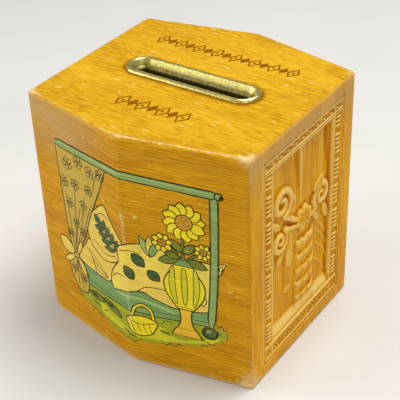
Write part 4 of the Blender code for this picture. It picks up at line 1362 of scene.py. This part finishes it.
def dull_steel(name, tone):
    """Zinc-grey sheet and wire with fine scratches and a little rust bloom."""
    s = Shader(name, on_cad=True)
    scratches = s.noise((6.0, 0.3, 0.4), 3, 0.6, 0.5)
    cloud = s.noise((4, 3, 3), 4, 0.6)
    rust = s.fade(s.noise((2.6, 2.2, 2.0), 5, 0.7), 0.6, 0.74, 0.0, 0.55)
    colour = s.mix(s.fade(cloud, 0.3, 0.7), tuple(int(part * 0.8) for part in tone), tone)
    return s.finish(
        Base_Color=s.mix(rust, colour, (120, 78, 46)),
        Metallic=s.calc("SUBTRACT", 1.0, rust),
        Roughness=s.times(rust, 0.5, s.fade(scratches, 0.3, 0.7, 0.28, 0.45)),
        Normal=s.bump(scratches, 0.05, 0.6),
    )


def make_woods():
    """The finishes of the boards, by where they are."""
    honey = ((184, 122, 6), (208, 147, 12), (228, 170, 26))
    top = ((182, 126, 8), (206, 156, 18), (224, 176, 36))
    side = ((206, 134, 4), (228, 160, 12), (246, 186, 30))
    fine, wavy = (8, 0.34, 0.8), 0.045
    return {
        "front": lacquered_wood("lacquer_front", honey, fine, 0.15, 0.45, wavy, sheen=front_painted_sheen),
        "top": lacquered_wood("lacquer_top", top, (4, 0.45, 0.8), 0.3, 0.5, 0.015, 0.672, halo=slot_painted_halo),
        "side": lacquered_wood("lacquer_side", side, (12, 0.36, 0.6), 0.3, 0.4, sheen=side_painted_sheen),
        "back": lacquered_wood("lacquer_back", honey, fine, 0.15, 0.5, wavy),
        "bare": bare_wood("bare_inside", (170, 126, 74), (218, 184, 132), upright=True),
    }


# The CAD nodes that stay


def finish_cad_node(name, finish, slot, bevel):
    """Rounds a CAD node's edges a little with modifiers and gives it its material."""
    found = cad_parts[name]
    mesh = found.data
    mesh.materials.clear()
    mesh.materials.append(finish)
    if "custom_normal" in mesh.attributes:
        mesh.attributes.remove(mesh.attributes["custom_normal"])
    mesh.shade_smooth()
    weld = found.modifiers.new("Weld", "WELD")
    weld.merge_threshold = 0.001 * MM
    rounding = found.modifiers.new("Bevel", "BEVEL")
    rounding.width = bevel * MM
    rounding.segments = 2
    rounding.limit_method = "ANGLE"
    rounding.angle_limit = math.radians(40)
    found.modifiers.new("Normals", "WEIGHTED_NORMAL").keep_sharp = True


def finish_cad_nodes():
    """Every CAD node whose name starts like this gets the look; the first that fits counts."""
    brass = aged_brass("brass_fittings")
    steel = dull_steel("steel_sheet", (168, 170, 172))
    dark_steel = dull_steel("steel_dark", (112, 110, 106))
    looks = (
        ("bottom_door", bare_wood("bare_door", (180, 128, 64), (222, 178, 112)), "bare_wood", 0.5),
        ("corner_block", bare_wood("bare_blocks", (158, 116, 66), (214, 180, 128), True), "bare_wood", 0.3),
        ("escutcheon", brass, "brass", 0.12),
        ("hinge_wall_screw hinge_door_screw", brass, "brass", 0.06),
        ("hinge", brass, "brass", 0.08),
        ("lock_screw strike_screw guard_nail", dark_steel, "steel", 0.06),
        ("lock_case strike_plate guard_bracket coin_flap", steel, "steel", 0.1),
        ("lock_bolt lock_rotor bolt_stump flap_wire", dark_steel, "steel", 0.08),
    )
    for name in sorted(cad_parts):
        for starts, *look in looks:
            if name.startswith(tuple(starts.split())):
                finish_cad_node(name, *look)
                break


# The studio


def make_floor():
    s = Shader("floor", on_cad=True)
    colour = s.ramp(s.noise((60, 60, 60), 3, 0.5), (0.3, (222, 221, 218)), (0.7, (228, 227, 224)))
    finish = s.finish(Base_Color=colour, Roughness=0.85)
    corners = [(-FLOOR, -FLOOR, 0), (FLOOR, -FLOOR, 0), (FLOOR, FLOOR, 0), (-FLOOR, FLOOR, 0)]
    add_piece("floor", corners, [(0, 1, 2, 3)], [finish])


def make_lights():
    """Round soft lights, in metres and watts, and a pale surround."""
    centre = (0, 0, 0.045)
    lights = (
        ("key", (0.12, 0.12, 0.64), centre, 0.34, 3.4, 0.96),
        ("fill", (-0.6, -0.36, 0.36), centre, 0.5, 2.1, 0.97),
        ("low", (-0.1, -0.5, 0.06), (0, 0, 0.01), 0.3, 0.3, 0.97),
        ("side", (0.5, -0.42, 0.3), centre, 0.4, 0.55, 0.97),
    )
    for name, place, target, size, power, blue in lights:
        light = bpy.data.lights.new(name, "AREA")
        light.shape = "DISK"
        light.size = size
        light.energy = power
        light.color = (1, 0.99, blue)
        made = bpy.data.objects.new(name, light)
        made.location = place
        made.rotation_euler = (Vector(target) - Vector(place)).to_track_quat("-Z", "Y").to_euler()
        bpy.context.scene.collection.objects.link(made)
    world = bpy.data.worlds.new("studio")
    world.use_nodes = True
    background = world.node_tree.nodes["Background"]
    background.inputs["Color"].default_value = (0.97, 0.98, 1, 1)
    background.inputs["Strength"].default_value = 0.31
    bpy.context.scene.world = world
    bpy.context.scene.view_settings.view_transform = "Standard"


def make_camera():
    """A long lens, above and to the right of the front ridge and tilted a little. Its angles are degrees."""
    azimuth, elevation, roll = (math.radians(angle) for angle in (35.412, 33.856, -2.403))
    level = math.cos(elevation)
    back = Vector((math.sin(azimuth) * level, -math.cos(azimuth) * level, math.sin(elevation)))
    level_right = Vector((math.cos(azimuth), math.sin(azimuth), 0))
    level_up = back.cross(level_right)
    right = level_right * math.cos(roll) + level_up * math.sin(roll)
    up = level_up * math.cos(roll) - level_right * math.sin(roll)
    camera = bpy.data.cameras.new("camera")
    camera.sensor_width = 36
    camera.lens = 96.3
    camera.clip_start = 0.01
    made = bpy.data.objects.new("camera", camera)
    distance, to_right, down = 0.35012, 0.000953, 0.001699
    place = Vector((0, 0, 0.042)) + back * distance + right * to_right - up * down
    made.matrix_world = Matrix.Translation(place) @ Matrix((right, up, back)).transposed().to_4x4()
    bpy.context.scene.collection.objects.link(made)
    bpy.context.scene.camera = made


woods = make_woods()
make_walls(woods)
make_top(woods)
make_slot_rim(aged_brass("brass_slot", has_tarnish_and_shade=True))
make_front_print(printed("print_colours"))
make_top_stamp(stamped("stamp_ink"))
finish_cad_nodes()
make_floor()
make_lights()
make_camera()
